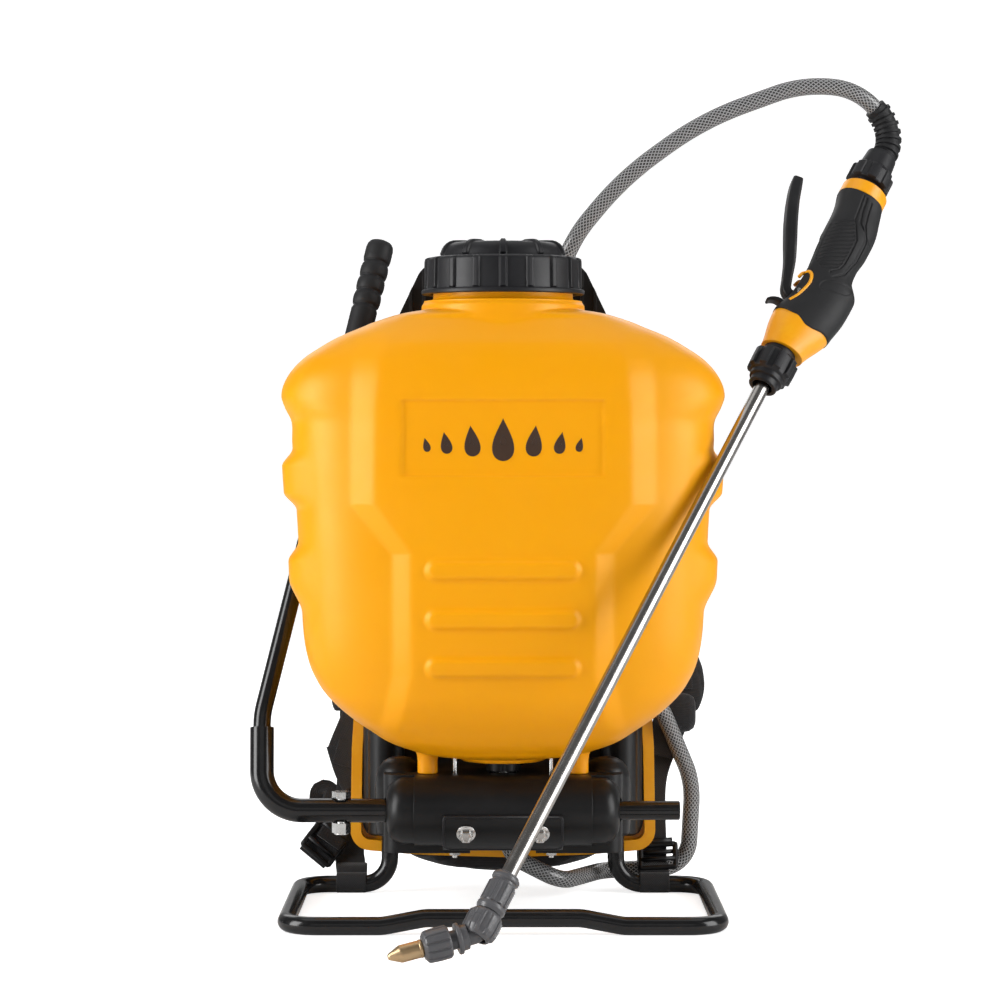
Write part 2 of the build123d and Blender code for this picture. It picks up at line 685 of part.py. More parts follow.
def lever_grip():
    foot = LEVER_TOP - REACH * GRIP_LENGTH
    body = between(foot, LEVER_TOP, GRIP_RADIUS)
    top_edge = body.edges().filter_by(GeomType.CIRCLE).sort_by(Axis.Z)[-1]
    body = fillet(top_edge, 5)
    for distance in (22, 35, 48):
        middle = LEVER_TOP - REACH * distance
        groove = between(middle - REACH * 1.2, middle + REACH * 1.2, GRIP_RADIUS + 1)
        groove -= between(middle - REACH * 2, middle + REACH * 2, GRIP_RADIUS - 1.1)
        body -= groove
    return body - between(foot - REACH, LEVER_TOP - REACH * 4.9, TUBE_RADIUS + FIT)


def lever_bolt():
    head = Pos(LEVER_BOLT_X, SHAFT_Y, 96.5) * hexagon(13, 5.3)
    return head + upright(LEVER_BOLT_X, SHAFT_Y, 65, 94, 4)


def lever_nut():
    nut = Pos(LEVER_BOLT_X, SHAFT_Y, 70.4) * hexagon(13, 8)
    nut += upright(LEVER_BOLT_X, SHAFT_Y, 65.2, 67, 5.6)
    return nut - upright(LEVER_BOLT_X, SHAFT_Y, 60, 80, 4 + FIT)


# ---- spray wand, in its own frame: X sideways, Z up along the tube ----
WAND_UP = (WAND_HEAD - WAND_FOOT).normalized()
WAND_LENGTH = (WAND_HEAD - WAND_FOOT).length
WAND_SIDE = Vector(0.8853, -0.0732, -0.4582)
WAND = Plane(origin=WAND_HEAD, x_dir=WAND_SIDE, z_dir=WAND_UP)
CORE_U = 4
RING_U = 1.5
TRIGGER_PIVOT = (-9, 98)
LOCK_PIVOT = (-17, 87)
# Height up the handle, left edge, right edge and half thickness.
LOWER_SECTIONS = [
    (46, -16.5, 19.3, 16), (58, -18, 24, 17.5), (70, -19.8, 29.5, 18.5), (80, -19.5, 31, 18.5),
]
GRIP_SECTIONS = [
    (80.2, -18.5, 31.5, 18), (95, -14.8, 34, 18.5), (115, -12.4, 34.8, 18.5), (130, -12, 26.5, 17.5),
    (145, -13, 25, 17), (162, -14, 26.8, 17.8), (180, -14, 26.5, 18),
    (195, -15, 23.5, 17.5), (206.8, -17.6, 20.8, 18.5),
]


def along_wand(low, high, radius, u=0.0):
    return WAND * Pos(u, 0, (low + high) / 2) * Cylinder(radius, high - low)


def wand_block(u_low, u_high, half_v, low, high):
    centre = Pos((u_low + u_high) / 2, 0, (low + high) / 2)
    return WAND * centre * Box(u_high - u_low, 2 * half_v, high - low)


def wand_pin(u, w, radius, half_v):
    """A cylinder across the handle, along the wand's thickness."""
    return WAND * Pos(u, 0, w) * Rot(90, 0, 0) * Cylinder(radius, 2 * half_v)


def handle_form(sections):
    faces = []
    for height, left, right, half_v in sections:
        place = WAND * Pos((left + right) / 2, 0, height)
        faces.append(place * Ellipse((right - left) / 2, half_v))
    return loft(faces)


def handle_core():
    """Yellow body: valve housing, the core of the grip and the top ring."""
    body = handle_form(LOWER_SECTIONS) + along_wand(79, 208, 11.5, CORE_U)
    body += along_wand(207, 218, 19.6, RING_U) + along_wand(30, 47, 10)
    body += along_wand(217, 232, 9, RING_U)
    body -= along_wand(20, 42, WAND_RADIUS + FIT) + along_wand(40, 233, 2.5)
    body -= along_wand(68, 110, 5)
    body -= wand_block(-40, 5, 6.2, 84, 112)
    body -= wand_block(-40, -6, 6.2, 110, 166)
    body -= wand_block(-40, -13.2, 6.2, 82.5, 90)
    body -= wand_pin(*TRIGGER_PIVOT, 2 + FIT, 30)
    return body - wand_pin(*LOCK_PIVOT, 1.5 + FIT, 9)


def handle_grip():
    """Black overmoulding round the core."""
    body = handle_form(GRIP_SECTIONS) - along_wand(70, 210, 11.5 + FIT, CORE_U)
    body -= wand_block(-40, 5, 6.2, 70, 112)
    return body - wand_block(-40, -5, 6.2, 110, 166) - wand_pin(*TRIGGER_PIVOT, 2 + FIT, 30)


def trigger():
    """Squeeze lever with a short inner arm that bears on the valve stem."""
    outline = [
        (-15, 99), (-22, 126), (-36, 160), (-47, 190), (-48, 199), (-54, 200), (-56, 192),
        (-44, 158), (-31, 124), (-22, 98), (-15, 93), (2, 95), (2, 99),
    ]
    profile = make_face(Polyline(*outline, close=True))
    side = Plane(origin=WAND_HEAD, x_dir=WAND_SIDE, z_dir=WAND_SIDE.cross(WAND_UP))
    body = extrude(side * profile, 5.4, both=True)
    body += wand_pin(*TRIGGER_PIVOT, 4.6, 5.4)
    return body - wand_pin(*TRIGGER_PIVOT, 2 + FIT, 20)


def trigger_pin():
    return wand_pin(*TRIGGER_PIVOT, 2, 14)


def trigger_lock():
    """Small tab under the trigger that holds it down for steady spraying."""
    u, w = LOCK_PIVOT
    body = wand_pin(u, w, 2.8, 5.4) + wand_block(u - 17, u, 5.4, w - 2, w + 2)
    return body + wand_pin(u, w, 1.5, 8.5)


def valve_stem():
    """Rests just under the trigger's inner arm; a collar carries the spring."""
    return along_wand(58, 94, 2) + along_wand(88, 91, 4.6)


def valve_spring():
    turns = 5
    height = 18.6
    path = Helix(pitch=height / turns, height=height, radius=3.6)
    start = Plane(origin=path @ 0, z_dir=path % 0)
    return WAND * Pos(0, 0, 68.5) * sweep(start * Circle(0.5), path=path)


def wand_nut():
    """Knurled collar that clamps the tube in the handle."""
    body = along_wand(0, 8, 9) + along_wand(8, 18, 10) + along_wand(18, 45.9, 15.3)
    for angle in range(0, 360, 24):
        groove = Pos(15.8, 0, 32) * Box(1.6, 2, 26)
        body -= WAND * Rot(0, 0, angle) * groove
    return body - along_wand(-1, 50, WAND_RADIUS + FIT) - along_wand(29, 50, 10 + FIT)


def wand_tube():
    return along_wand(-WAND_LENGTH, 41, WAND_RADIUS) - along_wand(-WAND_LENGTH - 1, 42, WAND_RADIUS - 0.9)


# ---- nozzle: straight on from the tube, then bent towards the tip ----
ELBOW_DROP = 45.6
NOZZLE_CENTRE = WAND_FOOT - WAND_UP * ELBOW_DROP
NOZZLE_DIRECTION = Vector(-0.9563, -0.1913, -0.2207).normalized()
ELBOW_RADIUS = 7


def down_wand(start, end, radius, end_radius=None):
    """A cylinder or cone below the foot of the tube, by distance from it."""
    return between(WAND_FOOT - WAND_UP * start, WAND_FOOT - WAND_UP * end, radius, end_radius)


def out_nozzle(start, end, radius, end_radius=None):
    near = NOZZLE_CENTRE + NOZZLE_DIRECTION * start
    far = NOZZLE_CENTRE + NOZZLE_DIRECTION * end
    return between(near, far, radius, end_radius)


def nozzle_nut():
    body = down_wand(-4, 0, 9.5) + down_wand(0, 3, 11.5)
    body += Plane(origin=WAND_FOOT - WAND_UP * 15, z_dir=WAND_UP) * hexagon(20, 25)
    return body - down_wand(-5, 12, WAND_RADIUS + FIT) - down_wand(11, 30, 7 + FIT)


def elbow():
    inlet = WAND_FOOT - WAND_UP * 13
    outlet = NOZZLE_CENTRE + NOZZLE_DIRECTION * 33
    path = rounded_path([inlet, NOZZLE_CENTRE, outlet], 10)
    body = rod_along(path, ELBOW_RADIUS)
    body += down_wand(29, 36, 9) + out_nozzle(13, 16, 10.5)
    return body - rod_along(path, 3)


def nozzle_cap():
    body = out_nozzle(21, 41, 11)
    for angle in range(0, 360, 30):
        place = Plane(origin=NOZZLE_CENTRE + NOZZLE_DIRECTION * 31, z_dir=NOZZLE_DIRECTION)
        body -= place * Rot(0, 0, angle) * Pos(11.4, 0, 0) * Cylinder(1.2, 15)
    return body - out_nozzle(20, 36, ELBOW_RADIUS + FIT) - out_nozzle(35, 42, 5 + FIT)


def nozzle_tip():
    body = out_nozzle(36, 42, 5) + out_nozzle(41.1, 53, 6.5) + out_nozzle(53, 67, 6.5, 2.4)
    return body - out_nozzle(35, 68, 0.8) - out_nozzle(35, 60, 2)


# ---- hose ----
def hose_lower_path():
    """From the outlet, under the base, round behind the frame and up the plate."""
    corners = [
        (4, 44, 100.5), (4, 44, 38), (48, 56, 14), (84, 118, 14), (156, 124, 16),
        (160, 122, 88), (130, 86, 158), (60, 86, 222), (44, 89, 300), (44, 89, HOSE_SPLIT_Z - 0.2),
    ]
    return rounded_path(corners, [24, 34, 24, 24, 60, 50, 60, 80])


RELIEF_CORNER = Vector(328.1, 107.8, 632.9)
ARCH_END = Vector(293.9, 96, 667.1)
RELIEF_BEND = 28
NUT_TOP = 258


def wand_at(height, u=RING_U):
    return WAND_HEAD + WAND_UP * height + WAND_SIDE * u


def hose_upper_path():
    """Straight up behind the tank, over in a long arch and down into the handle."""
    corners = [
        (44, 89, HOSE_SPLIT_Z + 0.2), (44, 89, 527), (99.6, 90, 593.3), (165.3, 91, 641),
        (248, 93, 671.1), ARCH_END, RELIEF_CORNER, wand_at(234),
    ]
    return rounded_path(corners, [120, 260, 260, 110, 55, RELIEF_BEND])


def hose_lower():
    return tube_along(hose_lower_path(), HOSE_RADIUS, HOSE_BORE)


def hose_upper():
    return tube_along(hose_upper_path(), HOSE_RADIUS, HOSE_BORE)


def hose_clamp():
    x, y = OUTLET
    ring = upright(x, y, 86, 96, HOSE_RADIUS + 1.6) - upright(x, y, 80, 100, HOSE_RADIUS + FIT)
    return ring + block(x + HOSE_RADIUS + 0.3, x + HOSE_RADIUS + 7, y - 4, y + 4, 86, 96)


def hose_clip():
    """Holds the riser against the back plate; the hose twists in it."""
    x, y = HOSE_SWIVEL
    low, high = HOSE_SPLIT_Z - 22, HOSE_SPLIT_Z - 8
    body = upright(x, y, low, high, HOSE_RADIUS + 2.6)
    body += block(x - 6, x + 6, y, PLATE_FLOOR_Y - FIT, low, high)
    return body - upright(x, y, low - 1, high + 1, HOSE_RADIUS + FIT)


def hose_nut():
    body = between(wand_at(219), wand_at(242), 16.4, 11.6) + between(wand_at(241), wand_at(NUT_TOP), 11.5)
    body -= between(wand_at(218), wand_at(233), 9 + FIT)
    return body - between(wand_at(232), wand_at(260), HOSE_RADIUS + 0.1)


def strain_relief():
    """Ribbed rubber sleeve that stops the hose kinking at the nut."""
    slope = (RELIEF_CORNER - ARCH_END).normalized()
    path = rounded_path([RELIEF_CORNER - slope * 28, RELIEF_CORNER, wand_at(NUT_TOP + 0.3)], RELIEF_BEND)
    body = rod_along(path, 9.2)
    for step in range(1, 8):
        share = step / 8
        body += Plane(origin=path @ share, z_dir=path % share) * Cylinder(10.8, 2.6)
    return body - rod_along(path, HOSE_RADIUS + 0.1)


# ---- write one file per part ----
PARTS = {
    "tank": tank,
    "lid": lid,
    "vent_valve": vent_valve,
    "lid_seal": lid_seal,
    "strainer": strainer,
    "pump_cylinder": pump_cylinder,
    "pump_gland": pump_gland,
    "outlet_valve": outlet_valve,
    "pressure_chamber": pressure_chamber,
    "discharge_pipe": discharge_pipe,
    "outlet_elbow": outlet_elbow,
    "piston": piston,
    "cup_seal": cup_seal,
    "plunger": plunger,
    "base_housing": base_housing,
    "crank_cover": crank_cover,
    "cover_bolts": cover_bolts,
    "shaft_bushes": shaft_bushes,
    "base_frame": base_frame,
    "frame_screws": frame_screws,
    "tie_rods": tie_rods,
    "tie_rod_nuts": tie_rod_nuts,
    "back_plate": back_plate,
    "plate_screws": plate_screws,
    "top_handle": top_handle,
    "lumbar_pad": lumbar_pad,
    "back_pad": back_pad,
    "right_strap": lambda: padded_strap(RIGHT_STRAP),
    "left_strap": lambda: padded_strap(LEFT_STRAP),
    "right_webbing": lambda: webbing(RIGHT_WEB),
    "left_webbing": lambda: webbing(LEFT_WEB),
    "right_buckle": lambda: ladder_lock(RIGHT_WEB),
    "left_buckle": lambda: ladder_lock(LEFT_WEB),
    "pump_shaft": pump_shaft,
    "crank": crank,
    "lever_lower": lever_lower,
    "lever_upper": lever_upper,
    "lever_grip": lever_grip,
    "lever_bolt": lever_bolt,
    "lever_nut": lever_nut,
    "handle_core": handle_core,
    "handle_grip": handle_grip,
    "trigger": trigger,
    "trigger_pin": trigger_pin,
    "trigger_lock": trigger_lock,
    "valve_stem": valve_stem,
    "valve_spring": valve_spring,
    "wand_nut": wand_nut,
    "wand_tube": wand_tube,
    "nozzle_nut": nozzle_nut,
    "elbow": elbow,
    "nozzle_cap": nozzle_cap,
    "nozzle_tip": nozzle_tip,
    "hose_lower": hose_lower,
    "hose_upper": hose_upper,
    "hose_clamp": hose_clamp,
    "hose_clip": hose_clip,
    "hose_nut": hose_nut,
    "strain_relief": strain_relief,
}

os.makedirs("parts", exist_ok=True)
for name, build in PARTS.items():
    export_step(build(), f"parts/{name}.step")
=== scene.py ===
import math

import bmesh
import bpy
import numpy as np
from mathutils import Matrix, Vector, noise


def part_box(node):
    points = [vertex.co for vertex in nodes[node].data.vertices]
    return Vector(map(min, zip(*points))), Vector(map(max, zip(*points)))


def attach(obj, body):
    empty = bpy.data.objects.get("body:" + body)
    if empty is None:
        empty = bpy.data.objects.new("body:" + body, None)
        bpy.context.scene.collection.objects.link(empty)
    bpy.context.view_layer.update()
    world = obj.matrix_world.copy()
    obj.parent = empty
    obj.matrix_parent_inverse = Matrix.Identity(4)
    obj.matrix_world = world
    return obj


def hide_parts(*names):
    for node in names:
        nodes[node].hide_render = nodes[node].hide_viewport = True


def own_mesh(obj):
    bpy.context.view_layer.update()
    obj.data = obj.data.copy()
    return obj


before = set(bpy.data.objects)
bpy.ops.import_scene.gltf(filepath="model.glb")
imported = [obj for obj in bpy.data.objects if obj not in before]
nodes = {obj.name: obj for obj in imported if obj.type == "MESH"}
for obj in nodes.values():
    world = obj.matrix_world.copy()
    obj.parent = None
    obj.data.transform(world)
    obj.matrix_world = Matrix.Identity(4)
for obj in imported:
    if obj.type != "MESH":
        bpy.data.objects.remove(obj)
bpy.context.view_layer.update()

# The looks of a backpack sprayer, in metres, in the CAD model's own frame:
# +Z up, -Y the front of the tank, +Y the wearer's side.
MM = 0.001
scene = bpy.context.scene
TAU = 2 * math.pi


# ---- mesh helpers ----
def piece(name, vertices, faces, material, body, uvs=None, smooth=True, sharp=None):
    """A mesh object that rides on a body. uvs holds one pair per vertex."""
    mesh = bpy.data.meshes.new(name)
    mesh.from_pydata([tuple(v) for v in vertices], [], [tuple(f) for f in faces])
    mesh.update()
    if uvs is not None:
        layer = mesh.uv_layers.new(name="UVMap")
        for loop in mesh.loops:
            layer.data[loop.index].uv = uvs[loop.vertex_index]
    obj = bpy.data.objects.new(name, mesh)
    scene.collection.objects.link(obj)
    return finish_piece(obj, material, body, smooth, sharp)


def finish_piece(obj, material, body, smooth=True, sharp=None):
    obj.data.materials.clear()
    obj.data.materials.append(material)
    for polygon in obj.data.polygons:
        polygon.use_smooth = smooth
    if sharp is not None:
        obj.data.set_sharp_from_angle(angle=math.radians(sharp))
    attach(obj, body)
    return obj


def ring_faces(rows, columns, closed=True):
    """Quads between rows of points; closed joins the last column to the first."""
    faces = []
    span = columns if closed else columns - 1
    for row in range(rows - 1):
        for column in range(span):
            right = (column + 1) % columns
            low, high = row * columns, (row + 1) * columns
            faces.append((low + column, low + right, high + right, high + column))
    return faces


def cap_fan(start, columns, centre, flip=False):
    fan = []
    for column in range(columns):
        right = (column + 1) % columns
        edge = (start + column, start + right)
        fan.append((edge[1], edge[0], centre) if flip else (edge[0], edge[1], centre))
    return fan


def smooth_curve(points, per_span=12):
    """Catmull-Rom points through the given ones, evenly spaced in each span."""
    points = [Vector(p) for p in points]
    out = []
    for i in range(len(points) - 1):
        p0 = points[max(i - 1, 0)]
        p1, p2 = points[i], points[i + 1]
        p3 = points[min(i + 2, len(points) - 1)]
        for step in range(per_span):
            t = step / per_span
            a = 2 * p1
            b = p2 - p0
            c = 2 * p0 - 5 * p1 + 4 * p2 - p3
            d = -p0 + 3 * p1 - 3 * p2 + p3
            out.append(0.5 * (a + b * t + c * t * t + d * t ** 3))
    out.append(points[-1])
    return out


def bent_line(corners, bends, step=0.004):
    """Points along straight runs joined by arcs of the given radii."""
    corners = [Vector(c) for c in corners]
    out = [corners[0]]

    def run_to(point):
        start = out[-1].copy()
        count = max(1, int((point - start).length / step))
        out.extend(start.lerp(point, i / count) for i in range(1, count + 1))

    for before, corner, after, bend in zip(corners, corners[1:], corners[2:], bends):
        way_in = (corner - before).normalized()
        way_out = (after - corner).normalized()
        turn = way_in.angle(way_out)
        reach = bend * math.tan(turn / 2)
        run_to(corner - way_in * reach)
        centre = corner + (way_out - way_in).normalized() * (bend / math.cos(turn / 2))
        arm = out[-1] - centre
        hinge = way_in.cross(way_out).normalized()
        count = max(3, int(bend * turn / step))
        out.extend(centre + Matrix.Rotation(turn * i / count, 3, hinge) @ arm for i in range(1, count + 1))
    run_to(corners[-1])
    return out


def frames_along(points, up=(0, 0, 1)):
    """A tangent and a steady sideways pair at each point, without twist."""
    tangents = []
    for i in range(len(points)):
        ahead = points[min(i + 1, len(points) - 1)]
        behind = points[max(i - 1, 0)]
        tangents.append((ahead - behind).normalized())
    side = Vector(up).cross(tangents[0])
    if side.length < 0.1:
        side = Vector((1, 0, 0)).cross(tangents[0])
    side.normalize()
    frames = []
    for tangent in tangents:
        side = (side - tangent * side.dot(tangent)).normalized()
        frames.append((tangent, side, tangent.cross(side)))
    return frames


def tube(name, points, radius, material, body, segments=32, profile=None, capped=True):
    """A round sweep with UVs: U round it from 0 to 1, V the length in metres.
    profile(distance, total) may scale the radius along the way."""
    frames = frames_along(points)
    length = [0.0]
    for a, b in zip(points, points[1:]):
        length.append(length[-1] + (b - a).length)
    vertices, uvs = [], []
    for point, (_, side, other), distance in zip(points, frames, length):
        scale = profile(distance, length[-1]) if profile else 1.0
        for s in range(segments + 1):
            angle = TAU * s / segments
            offset = (side * math.cos(angle) + other * math.sin(angle)) * radius * scale
            vertices.append(point + offset)
            uvs.append((s / segments, distance))
    faces = ring_faces(len(points), segments + 1, closed=False)
    obj = piece(name, vertices, faces, material, body, uvs)
    weld(obj)
    if capped:
        cap_holes(obj)
    return obj


def weld(obj, distance=1e-6):
    bm = bmesh.new()
    bm.from_mesh(obj.data)
    bmesh.ops.remove_doubles(bm, verts=bm.verts, dist=distance)
    bm.to_mesh(obj.data)
    bm.free()


def cap_holes(obj):
    bm = bmesh.new()
    bm.from_mesh(obj.data)
    rim = [e for e in bm.edges if e.is_boundary]
    bmesh.ops.holes_fill(bm, edges=rim, sides=0)
    bmesh.ops.recalc_face_normals(bm, faces=bm.faces)
    bm.to_mesh(obj.data)
    bm.free()


def apply_modifiers(obj):
    depsgraph = bpy.context.evaluated_depsgraph_get()
    mesh = bpy.data.meshes.new_from_object(obj.evaluated_get(depsgraph), preserve_all_data_layers=True,
                                           depsgraph=depsgraph)
    obj.modifiers.clear()
    obj.data = mesh


def ramp(value, low, high):
    """0 below low, 1 above high, with soft ends."""
    t = np.clip((value - low) / (high - low), 0, 1)
    return t * t * (3 - 2 * t)


def facet(value, low, high):
    """0 below low, 1 above high and straight in between, its corners rounded a little."""
    t = (value - low) / (high - low)
    soft = 0.09
    return (np.sqrt(t * t + soft * soft) - np.sqrt((t - 1) ** 2 + soft * soft) + 1) / 2


# ---- materials ----
class Graph:
    """Short calls for building one material's node tree."""

    def __init__(self, name):
        self.material = bpy.data.materials.new(name)
        self.material.use_nodes = True
        self.tree = self.material.node_tree
        self.shader = self.tree.nodes["Principled BSDF"]
        self.coords = self.tree.nodes.new("ShaderNodeTexCoord")

    def link(self, out, into):
        self.tree.links.new(out, into)

    def put(self, into, value):
        if hasattr(value, "is_linked"):
            self.link(value, into)
        else:
            into.default_value = value

    def math(self, operation, a, b=0.0, clamp=False):
        node = self.tree.nodes.new("ShaderNodeMath")
        node.operation = operation
        node.use_clamp = clamp
        self.put(node.inputs[0], a)
        self.put(node.inputs[1], b)
        return node.outputs[0]

    def noise(self, scale, detail=3.0, roughness=0.5, source="Object", stretch=None):
        node = self.tree.nodes.new("ShaderNodeTexNoise")
        node.inputs["Scale"].default_value = scale
        node.inputs["Detail"].default_value = detail
        node.inputs["Roughness"].default_value = roughness
        place = self.coords.outputs[source]
        if stretch:
            mapping = self.tree.nodes.new("ShaderNodeMapping")
            mapping.inputs["Scale"].default_value = stretch
            self.link(place, mapping.inputs[0])
            place = mapping.outputs[0]
        self.link(place, node.inputs["Vector"])
        return node.outputs["Fac"]

    def axis(self, index, source="Object"):
        node = self.tree.nodes.new("ShaderNodeSeparateXYZ")
        self.link(self.coords.outputs[source], node.inputs[0])
        return node.outputs[index]

    def span(self, value, low, high, out_low=0.0, out_high=1.0):
        node = self.tree.nodes.new("ShaderNodeMapRange")
        self.put(node.inputs["Value"], value)
        node.inputs["From Min"].default_value = low
        node.inputs["From Max"].default_value = high
        node.inputs["To Min"].default_value = out_low
        node.inputs["To Max"].default_value = out_high
        return node.outputs[0]

    def mix(self, share, first, second):
        node = self.tree.nodes.new("ShaderNodeMix")
        node.data_type = "RGBA"
        self.put(node.inputs["Factor"], share)
        self.put(node.inputs["A"], (*first, 1) if isinstance(first, tuple) else first)
        self.put(node.inputs["B"], (*second, 1) if isinstance(second, tuple) else second)
        return node.outputs["Result"]

    def bump(self, height, strength, distance, after=None):
        node = self.tree.nodes.new("ShaderNodeBump")
        node.inputs["Strength"].default_value = strength
        node.inputs["Distance"].default_value = distance
        self.link(height, node.inputs["Height"])
        if after is not None:
            self.link(after, node.inputs["Normal"])
        return node.outputs[0]

    def soft_edges(self, radius):
        node = self.tree.nodes.new("ShaderNodeBevel")
        node.samples = 4
        node.inputs["Radius"].default_value = radius
        return node.outputs[0]

    def done(self, color=None, roughness=None, normal=None, **others):
        if color is not None:
            self.put(self.shader.inputs["Base Color"], (*color, 1) if isinstance(color, tuple) else color)
        if roughness is not None:
            self.put(self.shader.inputs["Roughness"], roughness)
        if normal is not None:
            self.link(normal, self.shader.inputs["Normal"])
        for key, value in others.items():
            self.put(self.shader.inputs[key.replace("_", " ")], value)
        return self.material


def moulded(name, color, dark, rough=(0.35, 0.5), grain=900, depth=0.00006, edge=0.0007, **others):
    """Injection-moulded plastic: fine spark texture, faint flow marks and scuffs."""
    g = Graph(name)
    flow = g.noise(9, 4, 0.6)
    scuff = g.span(g.noise(60, 6, 0.7), 0.52, 0.72)
    base = g.mix(g.span(flow, 0.3, 0.7), color, dark)
    scuffed = tuple(min(1.0, c * 1.35 + 0.006) for c in color)
    base = g.mix(g.math("MULTIPLY", scuff, 0.35), base, scuffed)
    shine = g.math("ADD", g.span(g.noise(22, 5, 0.6), 0.3, 0.7, *rough), g.math("MULTIPLY", scuff, 0.08))
    round_edges = g.soft_edges(edge) if edge else None
    normal = g.bump(g.noise(grain, 2, 0.5), 0.35, depth, round_edges)
    return g.done(base, shine, normal, **others)


def tank_plastic():
    """Blow-moulded polyethylene: satin, slightly translucent, with a faint orange-peel skin."""
    g = Graph("tank_polyethylene")
    cloud = g.noise(5, 4, 0.55)
    height = g.axis(2)
    base = g.mix(g.span(cloud, 0.3, 0.75), (0.940, 0.385, 0.0005), (0.910, 0.360, 0.0005))
    # Painted shade: the lower part of the tank is painted darker and redder, fading out by 0.24 m up.
    base = g.mix(g.span(height, 0.12, 0.24, 0.25, 0.0), base, (0.87, 0.300, 0.0005))
    streak = g.span(g.noise(140, 6, 0.75, stretch=(1, 1, 0.12)), 0.66, 0.8)
    base = g.mix(g.math("MULTIPLY", streak, 0.10), base, (0.95, 0.45, 0.05))
    shine = g.span(g.noise(30, 5, 0.6), 0.3, 0.7, 0.34, 0.44)
    skin = g.bump(g.noise(420, 3, 0.55), 0.25, 0.0001)
    normal = g.bump(g.noise(28, 2, 0.4), 0.15, 0.0006, skin)
    material = g.done(base, shine, normal)
    g.shader.inputs["Subsurface Weight"].default_value = 0.08
    g.shader.inputs["Subsurface Radius"].default_value = (0.012, 0.005, 0.001)
    g.shader.inputs["Subsurface Scale"].default_value = 0.5
    g.shader.inputs["Specular Tint"].default_value = (1.0, 0.80, 0.45, 1.0)
    return material


def painted_steel():
    """Black powder coat, satin, rubbed a little brighter in scattered spots."""
    g = Graph("black_powder_coat")
    mottle = g.noise(55, 5, 0.6)
    base = g.mix(g.span(mottle, 0.35, 0.7), (0.005, 0.005, 0.0055), (0.009, 0.009, 0.0095))
    rub = g.span(g.noise(160, 7, 0.8), 0.66, 0.76)
    base = g.mix(g.math("MULTIPLY", rub, 0.03), base, (0.05, 0.05, 0.05))
    shine = g.math("ADD", g.span(mottle, 0.3, 0.7, 0.17, 0.22), g.math("MULTIPLY", rub, 0.04))
    peel = g.bump(g.noise(500, 3, 0.5), 0.02, 0.00003, g.soft_edges(0.0005))
    return g.done(base, shine, peel, Specular_IOR_Level=0.38, Coat_Weight=0.15, Coat_Roughness=0.1)


def metal(name, bright, dull, rough, stretch=(1, 1, 1), edge=0.0003):
    """Bare or plated metal with drawn scratches and duller patches."""
    g = Graph(name)
    patch = g.noise(40, 5, 0.65)
    scratch = g.noise(300, 4, 0.6, stretch=stretch)
    base = g.mix(g.span(patch, 0.35, 0.7), bright, dull)
    shine = g.math("ADD", g.span(scratch, 0.3, 0.7, rough[0], rough[1]), g.span(patch, 0.5, 0.8, 0, 0.08))
    normal = g.bump(scratch, 0.18, 0.00004, g.soft_edges(edge))
    return g.done(base, shine, normal, Metallic=1.0)


def braided_hose():
    """Clear tube over a crossed grey braid; U goes round the hose, V along it."""
    g = Graph("braided_hose")
    around = g.math("MULTIPLY", g.axis(0, "UV"), 14.0)
    along = g.math("MULTIPLY", g.axis(1, "UV"), 240.0)
    strands = []
    for sign in ("ADD", "SUBTRACT"):
        wave = g.math("SINE", g.math("MULTIPLY", g.math(sign, around, along), TAU))
        strands.append(g.span(wave, 0.5, 0.9))
    crossing = g.math("MAXIMUM", strands[0], strands[1])
    both = g.math("MULTIPLY", strands[0], strands[1])
    light = g.math("SUBTRACT", crossing, g.math("MULTIPLY", both, 0.25))
    grime = g.noise(50, 4, 0.6)
    base = g.mix(light, (0.006, 0.006, 0.007), (0.40, 0.40, 0.40))
    base = g.mix(g.span(grime, 0.4, 0.8, 0.0, 0.15), base, (0.16, 0.155, 0.15))
    normal = g.bump(crossing, 0.5, 0.0004)
    return g.done(base, 0.42, normal, Coat_Weight=0.8, Coat_Roughness=0.08)


def woven(name, color, light, pitch, depth=0.0004):
    """Close plain weave worked out from the piece's own UVs, in metres."""
    g = Graph(name)
    cross = g.math("MULTIPLY", g.axis(0, "UV"), TAU / pitch)
    along = g.math("MULTIPLY", g.axis(1, "UV"), TAU / pitch)
    weave = g.math("MULTIPLY", g.math("SINE", cross), g.math("SINE", along))
    fuzz = g.noise(700, 4, 0.7)
    height = g.math("ADD", g.math("MULTIPLY", weave, 0.5), fuzz)
    base = g.mix(g.span(height, 0.1, 1.0), color, light)
    worn = g.span(g.noise(18, 5, 0.6), 0.5, 0.75)
    base = g.mix(g.math("MULTIPLY", worn, 0.35), base, light)
    normal = g.bump(height, 0.7, depth)
    return g.done(base, g.span(fuzz, 0.3, 0.7, 0.72, 0.92), normal, Sheen_Weight=0.15, Sheen_Roughness=0.4)


def mesh_cloth(name, color, light, pitch):
    """Padded cover cloth whose weave needs no UVs, so it survives a remesh."""
    g = Graph(name)
    waves = []
    for index in (0, 1, 2):
        waves.append(g.math("SINE", g.math("MULTIPLY", g.axis(index), TAU / pitch)))
    weave = g.math("ADD", g.math("MULTIPLY", waves[0], waves[2]), g.math("MULTIPLY", waves[1], waves[2]))
    fuzz = g.noise(600, 4, 0.7)
    height = g.math("ADD", g.math("MULTIPLY", weave, 0.4), fuzz)
    base = g.mix(g.span(height, 0.0, 1.1), color, light)
    dust = g.span(g.noise(14, 5, 0.6), 0.5, 0.78)
    base = g.mix(g.math("MULTIPLY", dust, 0.3), base, light)
    normal = g.bump(height, 0.6, 0.0004)
    return g.done(base, g.span(fuzz, 0.3, 0.7, 0.75, 0.95), normal, Sheen_Weight=0.2, Sheen_Roughness=0.4)


